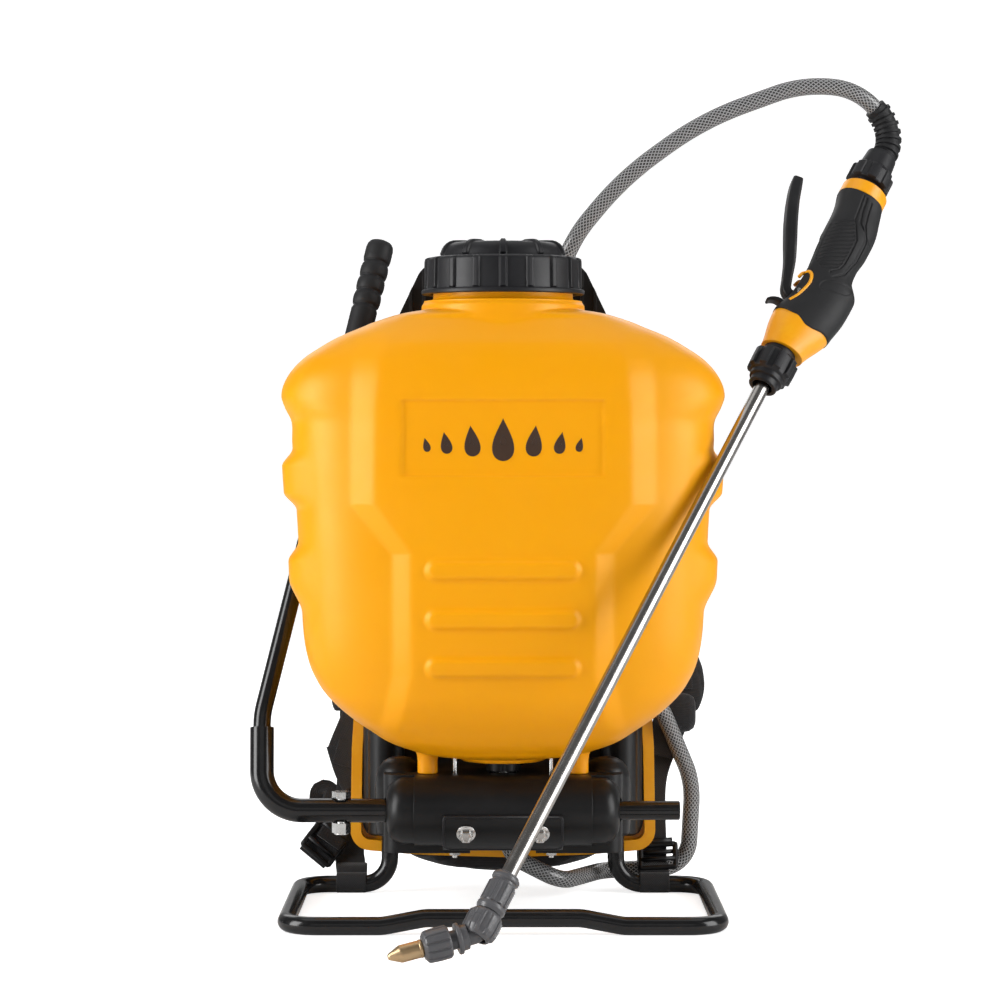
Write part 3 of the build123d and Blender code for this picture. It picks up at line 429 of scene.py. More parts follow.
TANK = tank_plastic()
YELLOW = moulded("yellow_moulding", (0.92, 0.39, 0.001), (0.88, 0.35, 0.001), (0.28, 0.4), grain=700)
BLACK = moulded("black_moulding", (0.005, 0.005, 0.0055), (0.009, 0.009, 0.0095), (0.30, 0.42),
               Specular_IOR_Level=0.3)
LID_BLACK = moulded("lid_moulding", (0.008, 0.008, 0.0095), (0.013, 0.013, 0.015), (0.36, 0.5), grain=1100,
                   Specular_IOR_Level=0.35)
TRIGGER_BLACK = moulded("trigger_moulding", (0.008, 0.008, 0.009), (0.013, 0.013, 0.014), (0.3, 0.42),
                       Specular_IOR_Level=0.35)
WHITE = moulded("white_moulding", (0.75, 0.75, 0.71), (0.66, 0.66, 0.62), (0.4, 0.5))
GREY = moulded("grey_moulding", (0.080, 0.080, 0.086), (0.110, 0.110, 0.116), (0.26, 0.36), edge=0.0005)
RUBBER = moulded("grip_rubber", (0.011, 0.011, 0.012), (0.018, 0.018, 0.019), (0.5, 0.65), grain=1500,
                Specular_IOR_Level=0.3)
SEAL = moulded("seal_rubber", (0.03, 0.03, 0.03), (0.045, 0.045, 0.045), (0.5, 0.6))
PAINT = painted_steel()
ZINC = metal("bright_zinc", (0.78, 0.78, 0.77), (0.58, 0.58, 0.57), (0.16, 0.30))
STAINLESS = metal("drawn_stainless", (0.46, 0.44, 0.42), (0.36, 0.345, 0.33), (0.16, 0.25), stretch=(0.4, 0.4, 0.2))
BRASS = metal("machined_brass", (0.60, 0.43, 0.25), (0.50, 0.34, 0.18), (0.32, 0.42))
HOSE = braided_hose()
PRINT = moulded("dark_print", (0.030, 0.012, 0.004), (0.045, 0.018, 0.006), (0.45, 0.6))
WEB = woven("ribbed_webbing", (0.006, 0.006, 0.007), (0.020, 0.020, 0.022), 0.0019)
CLOTH = mesh_cloth("strap_cloth", (0.006, 0.006, 0.007), (0.020, 0.020, 0.022), 0.0016)

NODE_FINISH = {
    "lid": LID_BLACK, "vent_valve": WHITE, "lid_seal": SEAL, "strainer": BLACK, "pump_cylinder": WHITE,
    "pump_gland": BLACK, "outlet_valve": SEAL, "pressure_chamber": WHITE, "discharge_pipe": WHITE,
    "outlet_elbow": BLACK, "piston": WHITE, "cup_seal": SEAL, "plunger": ZINC, "base_housing": BLACK,
    "crank_cover": BLACK, "cover_bolts": ZINC, "shaft_bushes": WHITE, "base_frame": PAINT,
    "frame_screws": ZINC, "tie_rods": ZINC, "tie_rod_nuts": ZINC, "back_plate": YELLOW,
    "plate_screws": ZINC, "top_handle": BLACK, "right_buckle": BLACK, "left_buckle": BLACK,
    "pump_shaft": PAINT, "crank": ZINC, "lever_lower": PAINT, "lever_upper": PAINT, "lever_grip": RUBBER,
    "lever_bolt": ZINC, "lever_nut": ZINC, "handle_core": YELLOW, "handle_grip": RUBBER,
    "trigger": TRIGGER_BLACK, "trigger_pin": ZINC, "trigger_lock": TRIGGER_BLACK, "valve_stem": BRASS,
    "valve_spring": STAINLESS, "wand_nut": BLACK, "wand_tube": STAINLESS, "nozzle_nut": GREY,
    "elbow": GREY, "nozzle_cap": GREY, "nozzle_tip": BRASS, "hose_clamp": STAINLESS, "hose_clip": BLACK,
    "hose_nut": BLACK, "strain_relief": RUBBER,
}


def finish_cad_nodes():
    """The carried-over CAD parts get their finishes and smooth shading."""
    for name, material in NODE_FINISH.items():
        mesh = nodes[name].data
        mesh.materials.clear()
        mesh.materials.append(material)
        for polygon in mesh.polygons:
            polygon.use_smooth = True
            polygon.material_index = 0
        mesh.set_sharp_from_angle(angle=math.radians(32))


finish_cad_nodes()


# ---- tank ----
TANK_CENTRE_Y = -15
FRONT_POWER, BACK_POWER = 2.8, 2.1
# Height, half width, front face and back face of the plain body, in millimetres.
TANK_OUTLINE = np.array([
    (124, 20, -34, 14), (126, 46, -48, 30), (133, 78, -62, 42), (148, 107, -75, 55), (172, 137, -86, 67),
    (190, 149.5, -90, 72), (209, 156, -92.5, 75), (250, 160, -94.5, 78), (310, 163, -95, 80),
    (376, 167.2, -93.5, 80), (392, 167.8, -92.5, 79.5), (403, 173, -91.5, 78.5), (412, 175.7, -90, 77),
    (427, 171, -86, 74), (441, 159, -80, 70), (450, 146, -75, 67), (459, 130, -69, 64), (466, 113, -65, 61.5),
    (472, 98, -61.5, 59), (478, 76, -58, 55), (483, 40, -40, 36),
], float)
# Height, outer edge and inner edge of the raised front panel's sloping border.
PANEL_EDGES = np.array([
    (136, 103, 88), (160, 94, 79), (196, 86, 70.5), (290, 86, 70.5), (328, 118, 99), (400, 118, 98),
    (440, 117, 95), (470, 108, 86),
], float)
COLLAR_RADIUS, NECK_RADIUS, NECK_BORE = 65, 55.7, 49.5
WALL = 3.2


def along_height(table, column, height):
    """Smooth reading of one column, without overshoot between its rows."""
    x, y = table[:, 0], table[:, column]
    slope = np.diff(y) / np.diff(x)
    tangent = np.concatenate(([slope[0]], (slope[:-1] + slope[1:]) / 2, [slope[-1]]))
    flat = np.concatenate(([False], slope[:-1] * slope[1:] <= 0, [False]))
    tangent[flat] = 0
    index = np.clip(np.searchsorted(x, height) - 1, 0, len(slope) - 1)
    step = x[index + 1] - x[index]
    t = np.clip((height - x[index]) / step, 0, 1)
    a, b = y[index], y[index + 1]
    m0, m1 = tangent[index] * step, tangent[index + 1] * step
    return ((2 * t ** 3 - 3 * t ** 2 + 1) * a + (t ** 3 - 2 * t ** 2 + t) * m0
            + (-2 * t ** 3 + 3 * t ** 2) * b + (t ** 3 - t ** 2) * m1)


def body_radius(angle, height, inset=0.0):
    """Distance from the pump's axis to the plain body, found by halving."""
    half = along_height(TANK_OUTLINE, 1, height) - inset
    front = TANK_CENTRE_Y - along_height(TANK_OUTLINE, 2, height) - inset
    back = along_height(TANK_OUTLINE, 3, height) - TANK_CENTRE_Y - inset
    low, high = np.zeros_like(angle), np.full_like(angle, 260.0)
    for _ in range(34):
        middle = (low + high) / 2
        x, y = middle * np.cos(angle), middle * np.sin(angle) - TANK_CENTRE_Y
        power = np.where(y > 0, BACK_POWER, FRONT_POWER)
        depth = np.where(y > 0, back, front)
        outside = np.abs(x / half) ** power + np.abs(y / depth) ** power > 1
        high = np.where(outside, middle, high)
        low = np.where(outside, low, middle)
    return (low + high) / 2


def soft_max(a, b, soft):
    return (a + b + np.sqrt((a - b) ** 2 + soft ** 2)) / 2


def front_relief(x, z):
    """How far the front stands out: panel, name-plate recess and three ribs."""
    outer = np.interp(z, PANEL_EDGES[:, 0], PANEL_EDGES[:, 1])
    inner = np.interp(z, PANEL_EDGES[:, 0], PANEL_EDGES[:, 2])
    panel = facet(-np.abs(x), -outer, -inner) * ramp(z, 132, 176) * (1 - ramp(z, 452, 478))
    recess = (1 - ramp(np.abs(x), 76.4, 78.6)) * ramp(z, 348.8, 350.8) * (1 - ramp(z, 407.2, 409.2))
    raise_mm = 6.4 * panel - 2.0 * recess
    for middle in (277.5, 239.5, 202.0):
        reach = np.hypot(np.maximum(np.abs(x) - 51.5, 0), z - middle)
        raise_mm = raise_mm + 3.7 * (1 - ramp(reach, 4.6, 9.4))
    return raise_mm


def side_lugs(y, z):
    """Two ribs round each side, under the shoulder's own."""
    lug = ramp(z, 322, 336) * (1 - ramp(z, 356, 371)) * 9.2
    lug = lug + ramp(z, 240, 268) * (1 - ramp(z, 281, 297)) * 8.6
    return lug * ramp(y, -66, -40) * (1 - ramp(y, 18, 36))


def outer_row(angle, z):
    """One level of the tank's outside, in millimetres: the body with its relief, then the collar."""
    height = np.full_like(angle, z)
    radius = body_radius(angle, height) if z <= 483 else np.zeros_like(angle)
    x, y = radius * np.cos(angle), radius * np.sin(angle)
    y = y - front_relief(x, height) * ramp(-y, 25, 45) * (1 - ramp(height, 466, 482))
    side = np.sign(x) * side_lugs(y, height) * ramp(np.abs(x), 100, 140)
    x = x + side
    radius = np.hypot(x, y)
    turn = np.where(radius > 1, np.arctan2(y, x), angle)
    if z > 440:
        collar = COLLAR_RADIUS - 2.0 * ramp(np.array(z), 483, 487.4)
        radius = soft_max(radius, np.full_like(radius, float(collar)), 2.2)
    if z < 135:
        radius = soft_max(radius, np.full_like(radius, 35.5 - max(0, 123 - z)), 3.0)
    return np.column_stack((radius * np.cos(turn), radius * np.sin(turn), height))


def build_tank():
    columns = 420
    angle = np.linspace(0, TAU, columns, endpoint=False) - math.pi / 2
    rows = []
    rim = 35.5 - 2
    for share in (0.02, 0.5, 0.9, 1.0):
        rows.append(np.column_stack((rim * share * np.cos(angle), rim * share * np.sin(angle),
                                     np.full(columns, 121.0))))
    levels = np.concatenate((
        np.arange(121.4, 150, 0.6), np.arange(150, 345, 1.4), np.arange(345, 412, 0.8),
        np.arange(412, 440, 1.2), np.arange(440, 487.4, 0.45),
    ))
    rows.extend(outer_row(angle, z) for z in levels)
    circle = np.column_stack((np.cos(angle), np.sin(angle)))
    neck = [(63, 487.6), (58, 487.9), (56.4, 488.6), (NECK_RADIUS, 490), (NECK_RADIUS, 496.6), (57.3, 497.2),
            (57.3, 499.0), (NECK_RADIUS, 499.6), (NECK_RADIUS, 503.6), (57.3, 504.2), (57.3, 506),
            (NECK_RADIUS, 506.6), (NECK_RADIUS, 511.8), (54.6, 513), (50.6, 513), (NECK_BORE, 511.8),
            (NECK_BORE, 490), (NECK_BORE, 481)]
    for radius, z in neck:
        rows.append(np.column_stack((circle * radius, np.full(columns, float(z)))))
    for z in np.concatenate((np.arange(477, 440, -2.0), np.arange(440, 150, -10.0), np.arange(150, 129, -3.0))):
        radius = np.maximum(body_radius(angle, np.full(columns, z), WALL), 12)
        rows.append(np.column_stack((circle * radius[:, None], np.full(columns, z))))
    rows.append(np.column_stack((circle * 12, np.full(columns, 128.2))))
    vertices = list(np.concatenate(rows) * MM)
    faces = ring_faces(len(rows), columns)
    bottom, top = len(vertices), len(vertices) + 1
    vertices += [(0, 0, 0.121), (0, 0, 0.1282)]
    faces += cap_fan(0, columns, bottom, flip=True)
    faces += cap_fan((len(rows) - 1) * columns, columns, top)
    obj = piece("tank_shell", vertices, faces, TANK, "sprayer")
    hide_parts("tank")
    return obj


def build_tank_posts():
    """Two short moulded legs that stand on the base, flared where they meet the tank."""
    profile = [(0.2, 112.2), (7.2, 112.2), (8.0, 113), (8.0, 122), (8.5, 127), (10.5, 132), (15, 137), (16, 140), (0.2, 140)]
    for side in (-1, 1):
        vertices, count = [], 40
        for radius, z in profile:
            for s in range(count):
                a = TAU * s / count
                vertices.append(((60 * side + radius * math.cos(a)) * MM, (-20 + radius * math.sin(a)) * MM, z * MM))
        faces = ring_faces(len(profile), count)
        obj = piece(f"tank_leg_{'right' if side > 0 else 'left'}", vertices, faces, TANK, "sprayer",
                    sharp=40)
        cap_holes(obj)


build_tank()
build_tank_posts()


# ---- hoses ----
HOSE_RADIUS = 7 * MM
LOWER_HOSE = [
    (4, 44, 100.5), (4, 44, 38), (48, 56, 14), (84, 118, 14), (156, 124, 16),
    (160, 122, 88), (130, 86, 158), (60, 86, 222), (44, 89, 300), (44, 89, 439.8),
]
LOWER_BENDS = [24, 34, 24, 24, 60, 50, 60, 80]
WAND_HEAD = Vector((200.8, -25, 411.2)) * MM
WAND_UP = (Vector((200.8, -25, 411.2)) - Vector((1.5, -235, 59.7))).normalized()
WAND_SIDE = Vector((0.8853, -0.0732, -0.4582))
WAND_SIDE = (WAND_SIDE - WAND_UP * WAND_SIDE.dot(WAND_UP)).normalized()
WAND_DEEP = WAND_UP.cross(WAND_SIDE)


def wand_point(u, v, w):
    """A point in the wand's own frame: sideways, deep and up, in millimetres."""
    return WAND_HEAD + (WAND_SIDE * u + WAND_DEEP * v + WAND_UP * w) * MM


UPPER_HOSE = [
    (44, 89, 440.2), (44, 89, 527), (99.6, 90, 593.3), (165.3, 91, 641), (248, 93, 671.1),
    (293.9, 96, 667.1), (328.1, 107.8, 632.9),
]
UPPER_BENDS = [120, 260, 260, 110, 55, 28]


def build_hoses():
    lower = bent_line([Vector(c) * MM for c in LOWER_HOSE], [b * MM for b in LOWER_BENDS], 0.003)
    obj = tube("hose_riser", lower, HOSE_RADIUS, HOSE, "sprayer", 40)
    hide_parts("hose_lower")
    end = wand_point(1.5, 0, 234)
    upper = bent_line([Vector(c) * MM for c in UPPER_HOSE] + [end], [b * MM for b in UPPER_BENDS], 0.003)
    obj = tube("hose_arch", upper, HOSE_RADIUS, HOSE, "wand", 40)
    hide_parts("hose_upper")


build_hoses()


# ---- lid ----
def raised_band(offset, half, edge):
    """One inside a band of the given half width, easing to nothing over its edge."""
    return 1 - ramp(np.abs(offset), half, half + edge)


def wrapped(angle, count):
    """Angle from the nearest of evenly spaced ribs."""
    pitch = TAU / count
    return (angle + pitch / 2) % pitch - pitch / 2


def build_lid():
    """Screw lid: a ribbed ring on a flange, and a ribbed dome to turn it by."""
    columns = 720
    angle = np.linspace(0, TAU, columns, endpoint=False)
    front = angle + math.pi / 2
    outer = [
        (59.5, 492.9), (64.0, 492.8), (65.0, 493.4), (65.1, 495.6), (64.5, 496.5), (61.6, 496.9),
        (61.3, 498.0), (61.2, 505.0), (61.1, 512.0), (61.0, 517.0), (60.9, 519.4), (60.5, 520.8),
        (59.6, 521.8), (58.2, 522.4), (55.0, 522.6), (51.8, 522.6), (50.6, 523.0), (50.0, 524.2),
        (49.3, 526.0), (48.4, 528.2), (47.2, 530.4), (45.6, 532.2), (43.6, 533.4), (41.0, 534.0),
        (36.0, 534.2), (30.0, 534.2), (22.0, 534.2), (18.0, 534.0), (16.5, 532.9), (12.0, 532.7),
        (4.0, 532.7), (2.4, 532.5),
    ]
    rows = []
    for radius, z in outer:
        ring_share = ramp(np.array(z), 496.6, 497.6) * (1 - ramp(np.array(z), 521.4, 522.5))
        arc = wrapped(front, 18) * 62
        grown = radius + 2.3 * ring_share * raised_band(arc, 1.9, 1.3)
        dome_share = ramp(np.array(z), 522.9, 524.0) * ramp(np.array(radius), 24, 28)
        arc = wrapped(front, 10) * 48
        dome_rib = raised_band(arc, 1.7, 1.4)
        slope = ramp(np.array(radius), 41, 49)
        grown = grown + 2.2 * dome_share * dome_rib * (0.35 + 0.65 * slope)
        height = z + 1.7 * dome_share * dome_rib * (1 - 0.75 * slope)
        rows.append(np.column_stack((grown * np.cos(angle), grown * np.sin(angle),
                                     np.broadcast_to(height, angle.shape))))
    inner = [(2.4, 528.6), (36, 528.4), (36, 518.0), (58.3, 517.8), (58.4, 493.6)]
    for radius, z in inner:
        rows.append(np.column_stack((radius * np.cos(angle), radius * np.sin(angle), np.full(columns, z))))
    rows.append(rows[0].copy())
    vertices = list(np.concatenate(rows) * MM)
    obj = piece("lid_moulding", vertices, ring_faces(len(rows), columns), LID_BLACK, "lid")
    weld(obj)
    obj.data.set_sharp_from_angle(angle=math.radians(42))
    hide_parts("lid")


build_lid()


# ---- trigger handle ----
# Height up the wand, left and right sides seen from the front, and half depth.
HANDLE_SECTIONS = np.array([
    (46, -16.5, 19.3, 16), (58, -18, 24, 17.5), (70, -19.8, 29.5, 18.5), (80, -19.5, 31.3, 18.5),
    (95, -14.8, 34, 18.5), (115, -12.4, 34.8, 18.5), (130, -12, 26.5, 17.5), (145, -13, 25, 17),
    (162, -14, 26.8, 17.8), (180, -14, 26.5, 18), (195, -15, 23.5, 17.5), (206.8, -17.6, 20.8, 18.5),
], float)
# Height up the wand, left and right edge of the ribbed pad.
PAD_EDGES = np.array([
    (125, -1.5, 5), (131, -8.5, 10.5), (137, -10.6, 12), (150, -11.5, 12.4), (163, -12, 12),
    (172, -12.5, 7.5), (180, -14, 3.4), (196, -16, 2.0), (203, -17, 1.2),
], float)
# The long groove beside the pad, and the outer one nearer the back of the hand.
CONTOURS = np.array([
    (120, 9.5, 30), (128, 16.5, 27), (148, 20.5, 25.5), (165, 20.5, 27.5), (171, 18.5, 18.5),
    (179, 9.4, 14.0), (190, 6.8, 11.8), (203, 5.2, 10.0),
], float)
RIB_LEAN = math.radians(30.7)
RIB_PITCH = 3.6


def groove(offset, half=0.55, edge=0.5):
    return raised_band(offset, half, edge)


def grip_relief(u, w):
    """How deep the face of the grip is cut: pad ribs, contour grooves and a blank name pad."""
    low = np.interp(w, PAD_EDGES[:, 0], PAD_EDGES[:, 1])
    high = np.interp(w, PAD_EDGES[:, 0], PAD_EDGES[:, 2])
    inside = ramp(w, 124.5, 127) * (1 - ramp(w, 202.5, 204)) * ramp(u, low, low + 1.2) * (1 - ramp(u, high - 1.2, high))
    along = w * math.cos(RIB_LEAN) - u * math.sin(RIB_LEAN)
    ribs = 0.5 + 0.5 * np.cos(TAU * along / RIB_PITCH)
    depth = 0.95 * inside * ribs * (1 - ramp(along, 152, 154))
    between = ramp(w, 122, 124) * (1 - ramp(w, 204, 205))
    depth = depth + 1.0 * groove(u - high - 1.0) * between
    first = np.interp(w, CONTOURS[:, 0], CONTOURS[:, 1])
    second = np.interp(w, CONTOURS[:, 0], CONTOURS[:, 2])
    depth = np.maximum(depth, 1.1 * groove(u - first, 0.8, 0.6) * ramp(w, 119, 122) * (1 - ramp(w, 203, 204)))
    depth = np.maximum(depth, 0.9 * groove(u - second) * ramp(w, 160, 163) * (1 - ramp(w, 201, 202)))
    centre_w = 110.2 + (u - 6.7) * 0.33
    reach = np.hypot(np.maximum(np.abs(u - 16) - 8, 0), (w - centre_w) * 0.95)
    return np.maximum(depth, 0.7 * raised_band(reach, 4.6, 0.5))


def collar_edge(u):
    """Where the black grip gives way to the yellow collar, stepping down across the face."""
    return 77.5 - 3.0 * ramp(u, -20, -3) - 5.5 * ramp(u, -3, 9) + 3.0 * ramp(u, 12, 27)


def handle_ring(angle, w, grow=0.0):
    """Cross points (u, v) of the handle at heights w, rounded-square in section."""
    left = along_height(HANDLE_SECTIONS, 1, w) - grow
    right = along_height(HANDLE_SECTIONS, 2, w) + grow
    deep = along_height(HANDLE_SECTIONS, 3, w) + grow
    u = (left + right) / 2 + (right - left) / 2 * np.sign(np.cos(angle)) * np.abs(np.cos(angle)) ** 0.84
    v = deep * np.sign(np.sin(angle)) * np.abs(np.sin(angle)) ** 0.84
    return u, v, deep


def wand_points(u, v, w):
    base = np.outer(u, WAND_SIDE) + np.outer(v, WAND_DEEP) + np.outer(w, WAND_UP)
    return base * MM + np.array(WAND_HEAD)


def build_grip():
    """Soft black grip moulded over the yellow handle, cut away for the trigger."""
    columns, levels = 360, 340
    angle = np.linspace(0, TAU, columns, endpoint=False)
    rows = []
    for k in range(levels + 1):
        share = k / levels
        w = np.full(columns, 80.0)
        for _ in range(3):
            u, v, deep = handle_ring(angle, w)
            w = collar_edge(u) * (1 - share) + 206.6 * share
        lip = 0.55 * float(ramp(np.array(share), 0.0, 0.004))
        u, v, deep = handle_ring(angle, w, lip)
        face = ramp(np.abs(v) / deep, 0.42, 0.72)
        v = v - np.sign(v) * grip_relief(u, w) * face
        in_slot = raised_band(v, 6.1, 0.5) * ramp(w, 84, 85) * (1 - ramp(w, 158, 162))
        u = u + np.maximum(-4.5 - u, 0) * in_slot
        rows.append(wand_points(u, v, w))
    first_w = collar_edge(handle_ring(angle, np.full(columns, 76.0))[0])
    u, v, deep = handle_ring(angle, first_w, -1.2)
    rows.insert(0, wand_points(u, v, first_w))
    vertices = list(np.concatenate(rows))
    bottom, top = len(vertices), len(vertices) + 1
    vertices += [Vector(wand_points(np.array([4.0]), np.array([0.0]), np.array([w]))[0]) for w in (73.0, 206.6)]
    faces = ring_faces(len(rows), columns)
    faces += cap_fan(0, columns, bottom, flip=True)
    faces += cap_fan((len(rows) - 1) * columns, columns, top)
    obj = piece("grip_overmould", vertices, faces, RUBBER, "wand")
    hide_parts("handle_grip")


def build_slot_frame():
    """Yellow rim of the trigger's slot, showing through the grip on both faces."""
    corners = [(-12.5, 86), (-8.5, 93), (-5.6, 102), (-4.6, 109), (-6.2, 116), (-9.5, 119.6), (-13, 118), (-14.6, 113)]
    for side, name in ((-1, "front"), (1, "rear")):
        centre = smooth_curve([Vector((u, w, 0)) for u, w in corners], 8)
        points = []
        for place in centre:
            u, w = place.x, place.y
            left = float(along_height(HANDLE_SECTIONS, 1, np.array([w]))[0])
            right = float(along_height(HANDLE_SECTIONS, 2, np.array([w]))[0])
            deep = float(along_height(HANDLE_SECTIONS, 3, np.array([w]))[0])
            across = min(abs((u - (left + right) / 2) / ((right - left) / 2)), 0.998)
            lean = math.acos(across ** (1 / 0.84))
            # The rim stays clear of the trigger, which swings through the slot.
            v = max(deep * math.sin(lean) ** 0.84 + 0.25, 7.2)
            points.append(wand_point(u, side * v, w))
        tube(f"slot_rim_{name}", points, 1.45 * MM, YELLOW, "wand", 16)


def build_valve_coil():
    """The return spring under the valve stem's collar, built as a fixed coil that rides on the wand."""
    low, high, turns = 68.5, 87.1, 5
    points = []
    for s in range(turns * 32 + 1):
        share = s / (turns * 32)
        angle = TAU * turns * share
        points.append(wand_point(3.6 * math.cos(angle), 3.6 * math.sin(angle), low + (high - low) * share))
    coil = tube("valve_coil_spring", points, 0.5 * MM, STAINLESS, "wand", 10)
    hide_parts("valve_spring")
    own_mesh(coil)


def swept_lever(name, path, body, material, channel=None):
    """A rounded bar in the wand's side plane. path holds (u, w, thickness, half width) rows in mm;
    channel is the depth of the ribbed hollow along its inner face."""
    rows = smooth_curve([Vector((u, w, 0)) for u, w, _, _ in path], 12)
    sizes = smooth_curve([Vector((thick, half, 0)) for _, _, thick, half in path], 12)
    vertices, run, columns = [], 0.0, 96
    for i, (row, size) in enumerate(zip(rows, sizes)):
        ahead, behind = rows[min(i + 1, len(rows) - 1)], rows[max(i - 1, 0)]
        along = (ahead - behind).normalized()
        inward = Vector((along.y, -along.x, 0))
        if i:
            run += (row - rows[i - 1]).length
        end = min(i, len(rows) - 1 - i)
        shrink = (0.55, 0.8, 0.93, 1.0)[min(end, 3)]
        rib = 1 - raised_band((run + 4.5) % 9 - 4.5, 0.7, 0.5)
        open_share = ramp(run, 26, 30) * (1 - ramp(run, 114, 117)) if channel else 0.0
        for s in range(columns):
            a = TAU * s / columns
            deep = math.copysign(abs(math.cos(a)) ** 0.45, math.cos(a)) * size.x / 2 * shrink
            wide = math.copysign(abs(math.sin(a)) ** 0.45, math.sin(a)) * size.y * shrink
            if channel and deep > 0:
                hollow = 1 - ramp(abs(wide), size.y - 2.6, size.y - 1.8)
                deep -= channel * float(hollow * open_share * (0.45 + 0.55 * rib))
            place = row + inward * deep
            vertices.append(wand_point(place.x, wide, place.y))
    obj = piece(name, vertices, ring_faces(len(rows), columns), material, body)
    cap_holes(obj)
    obj.data.set_sharp_from_angle(angle=math.radians(40))
    return obj


def build_trigger():
    """Curved squeeze lever with a ribbed hollow inside, and the small hooked lock under it."""
    path = [(2, 97, 4.0, 5.2), (-6, 97.2, 6.2, 5.3), (-13.5, 97.2, 8.4, 5.3), (-19, 100.5, 8.0, 5.3), (-22.5, 111, 8.2, 5.3),
            (-27, 126, 9.4, 5.6), (-33.5, 142, 10.2, 7.0), (-40.5, 159, 10.4, 7.6), (-46.5, 176, 10.2, 7.6),
            (-50.4, 190, 10.0, 7.4), (-52, 197, 9.2, 7.2), (-52.6, 200.5, 8.4, 6.8)]
    lever = swept_lever("trigger_lever", path, "trigger", TRIGGER_BLACK, 3.2)
    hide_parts("trigger")
    u, w = -17, 87
    path = [(u + 2.4, w - 0.6, 3.6, 4.4), (u - 2, w + 0.8, 4.4, 4.6), (u - 6, w + 0.6, 3.2, 4.6),
            (u - 9.6, w - 1.2, 2.6, 4.6), (u - 12, w - 3.8, 2.2, 4.4)]
    hook = swept_lever("lock_hook", path, "trigger_lock", TRIGGER_BLACK)
    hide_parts("trigger_lock")


build_grip()
build_slot_frame()
build_valve_coil()
build_trigger()


# ---- hose nut and wand nut ----
def turned(name, profile, place, ribs, material, body, rib_span, rib_rise, rib_half, columns=288, sharp=38):
    """A closed turned form with raised grip ribs. profile holds (radius, height) pairs in mm,
    outside first and back down the inside; place gives a point for (x, y, height)."""
    angle = np.linspace(0, TAU, columns, endpoint=False)
    rows = []
    for radius, height in profile:
        share = float(ramp(np.array(height), rib_span[0], rib_span[0] + 0.8))
        share *= float(1 - ramp(np.array(height), rib_span[1] - 0.8, rib_span[1]))
        share *= radius > rib_span[2]
        rise = rib_rise * share * raised_band(wrapped(angle, ribs) * radius, rib_half, 0.7)
        for x, y in zip((radius + rise) * np.cos(angle), (radius + rise) * np.sin(angle)):
            rows.append(place(x, y, height))
    rows.extend(rows[:columns])
    obj = piece(name, rows, ring_faces(len(profile) + 1, columns), material, body)
    weld(obj)
    obj.data.set_sharp_from_angle(angle=math.radians(sharp))
    return obj


def stepped(profile, step=0.7):
    """Extra points along each run, so that ribs can start and stop on it."""
    out = []
    for (r0, z0), (r1, z1) in zip(profile, profile[1:]):
        count = max(1, int(math.hypot(r1 - r0, z1 - z0) / step))
        for k in range(count):
            out.append((r0 + (r1 - r0) * k / count, z0 + (z1 - z0) * k / count))
    out.append(profile[-1])
    return out


def build_nuts():
    """The ribbed nuts at both ends of the trigger handle."""
    profile = stepped([(8.6, 10.5), (11.4, 10.6), (11.7, 11.2), (11.7, 15.8), (13.6, 16.6), (13.8, 17.4),
                       (13.8, 20.4), (15.4, 21.4), (15.9, 22.4), (16.2, 30.0), (16.2, 38.6), (15.6, 40.2),
                       (14.6, 41.0), (13.4, 41.2), (13.4, 45.6), (8.6, 45.7)])
    nut = turned("wand_grip_nut", profile, wand_point, 9, LID_BLACK, "wand",
                 (22.2, 39.8, 14.5), 2.5, 2.5)
    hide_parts("wand_nut")
    profile = stepped([(7.6, 219.4), (12.6, 219.5), (12.6, 224.8), (16.2, 225.0), (16.9, 226.0), (16.9, 238.6),
                       (16.0, 240.4), (14.6, 241.2), (14.0, 243.0), (13.4, 251.0), (12.8, 257.4), (12.0, 258.3),
                       (7.6, 258.5)])
    nut = turned("hose_grip_nut", profile, wand_point, 8, LID_BLACK, "wand",
                 (225.2, 240.6, 15.0), 1.5, 3.4)
    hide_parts("hose_nut")


build_nuts()


# ---- nozzle end and lever grip ----
WAND_FOOT = Vector((1.5, -235, 59.7)) * MM
NOZZLE_CENTRE = WAND_FOOT - WAND_UP * 45.6 * MM
NOZZLE_DIRECTION = Vector((-0.9563, -0.1913, -0.2207)).normalized()
LEVER_KNEE = Vector((-192, -14, 158)) * MM
LEVER_TOP = Vector((-102, 124, 542)) * MM


def along_axis(origin, direction):
    """Gives a function from (x, y, distance), in mm, to points round a slanting axis."""
    side = direction.cross(Vector((0, 1, 0))).normalized()
    other = direction.cross(side)
    return lambda x, y, distance: origin + (side * x + other * y + direction * distance) * MM


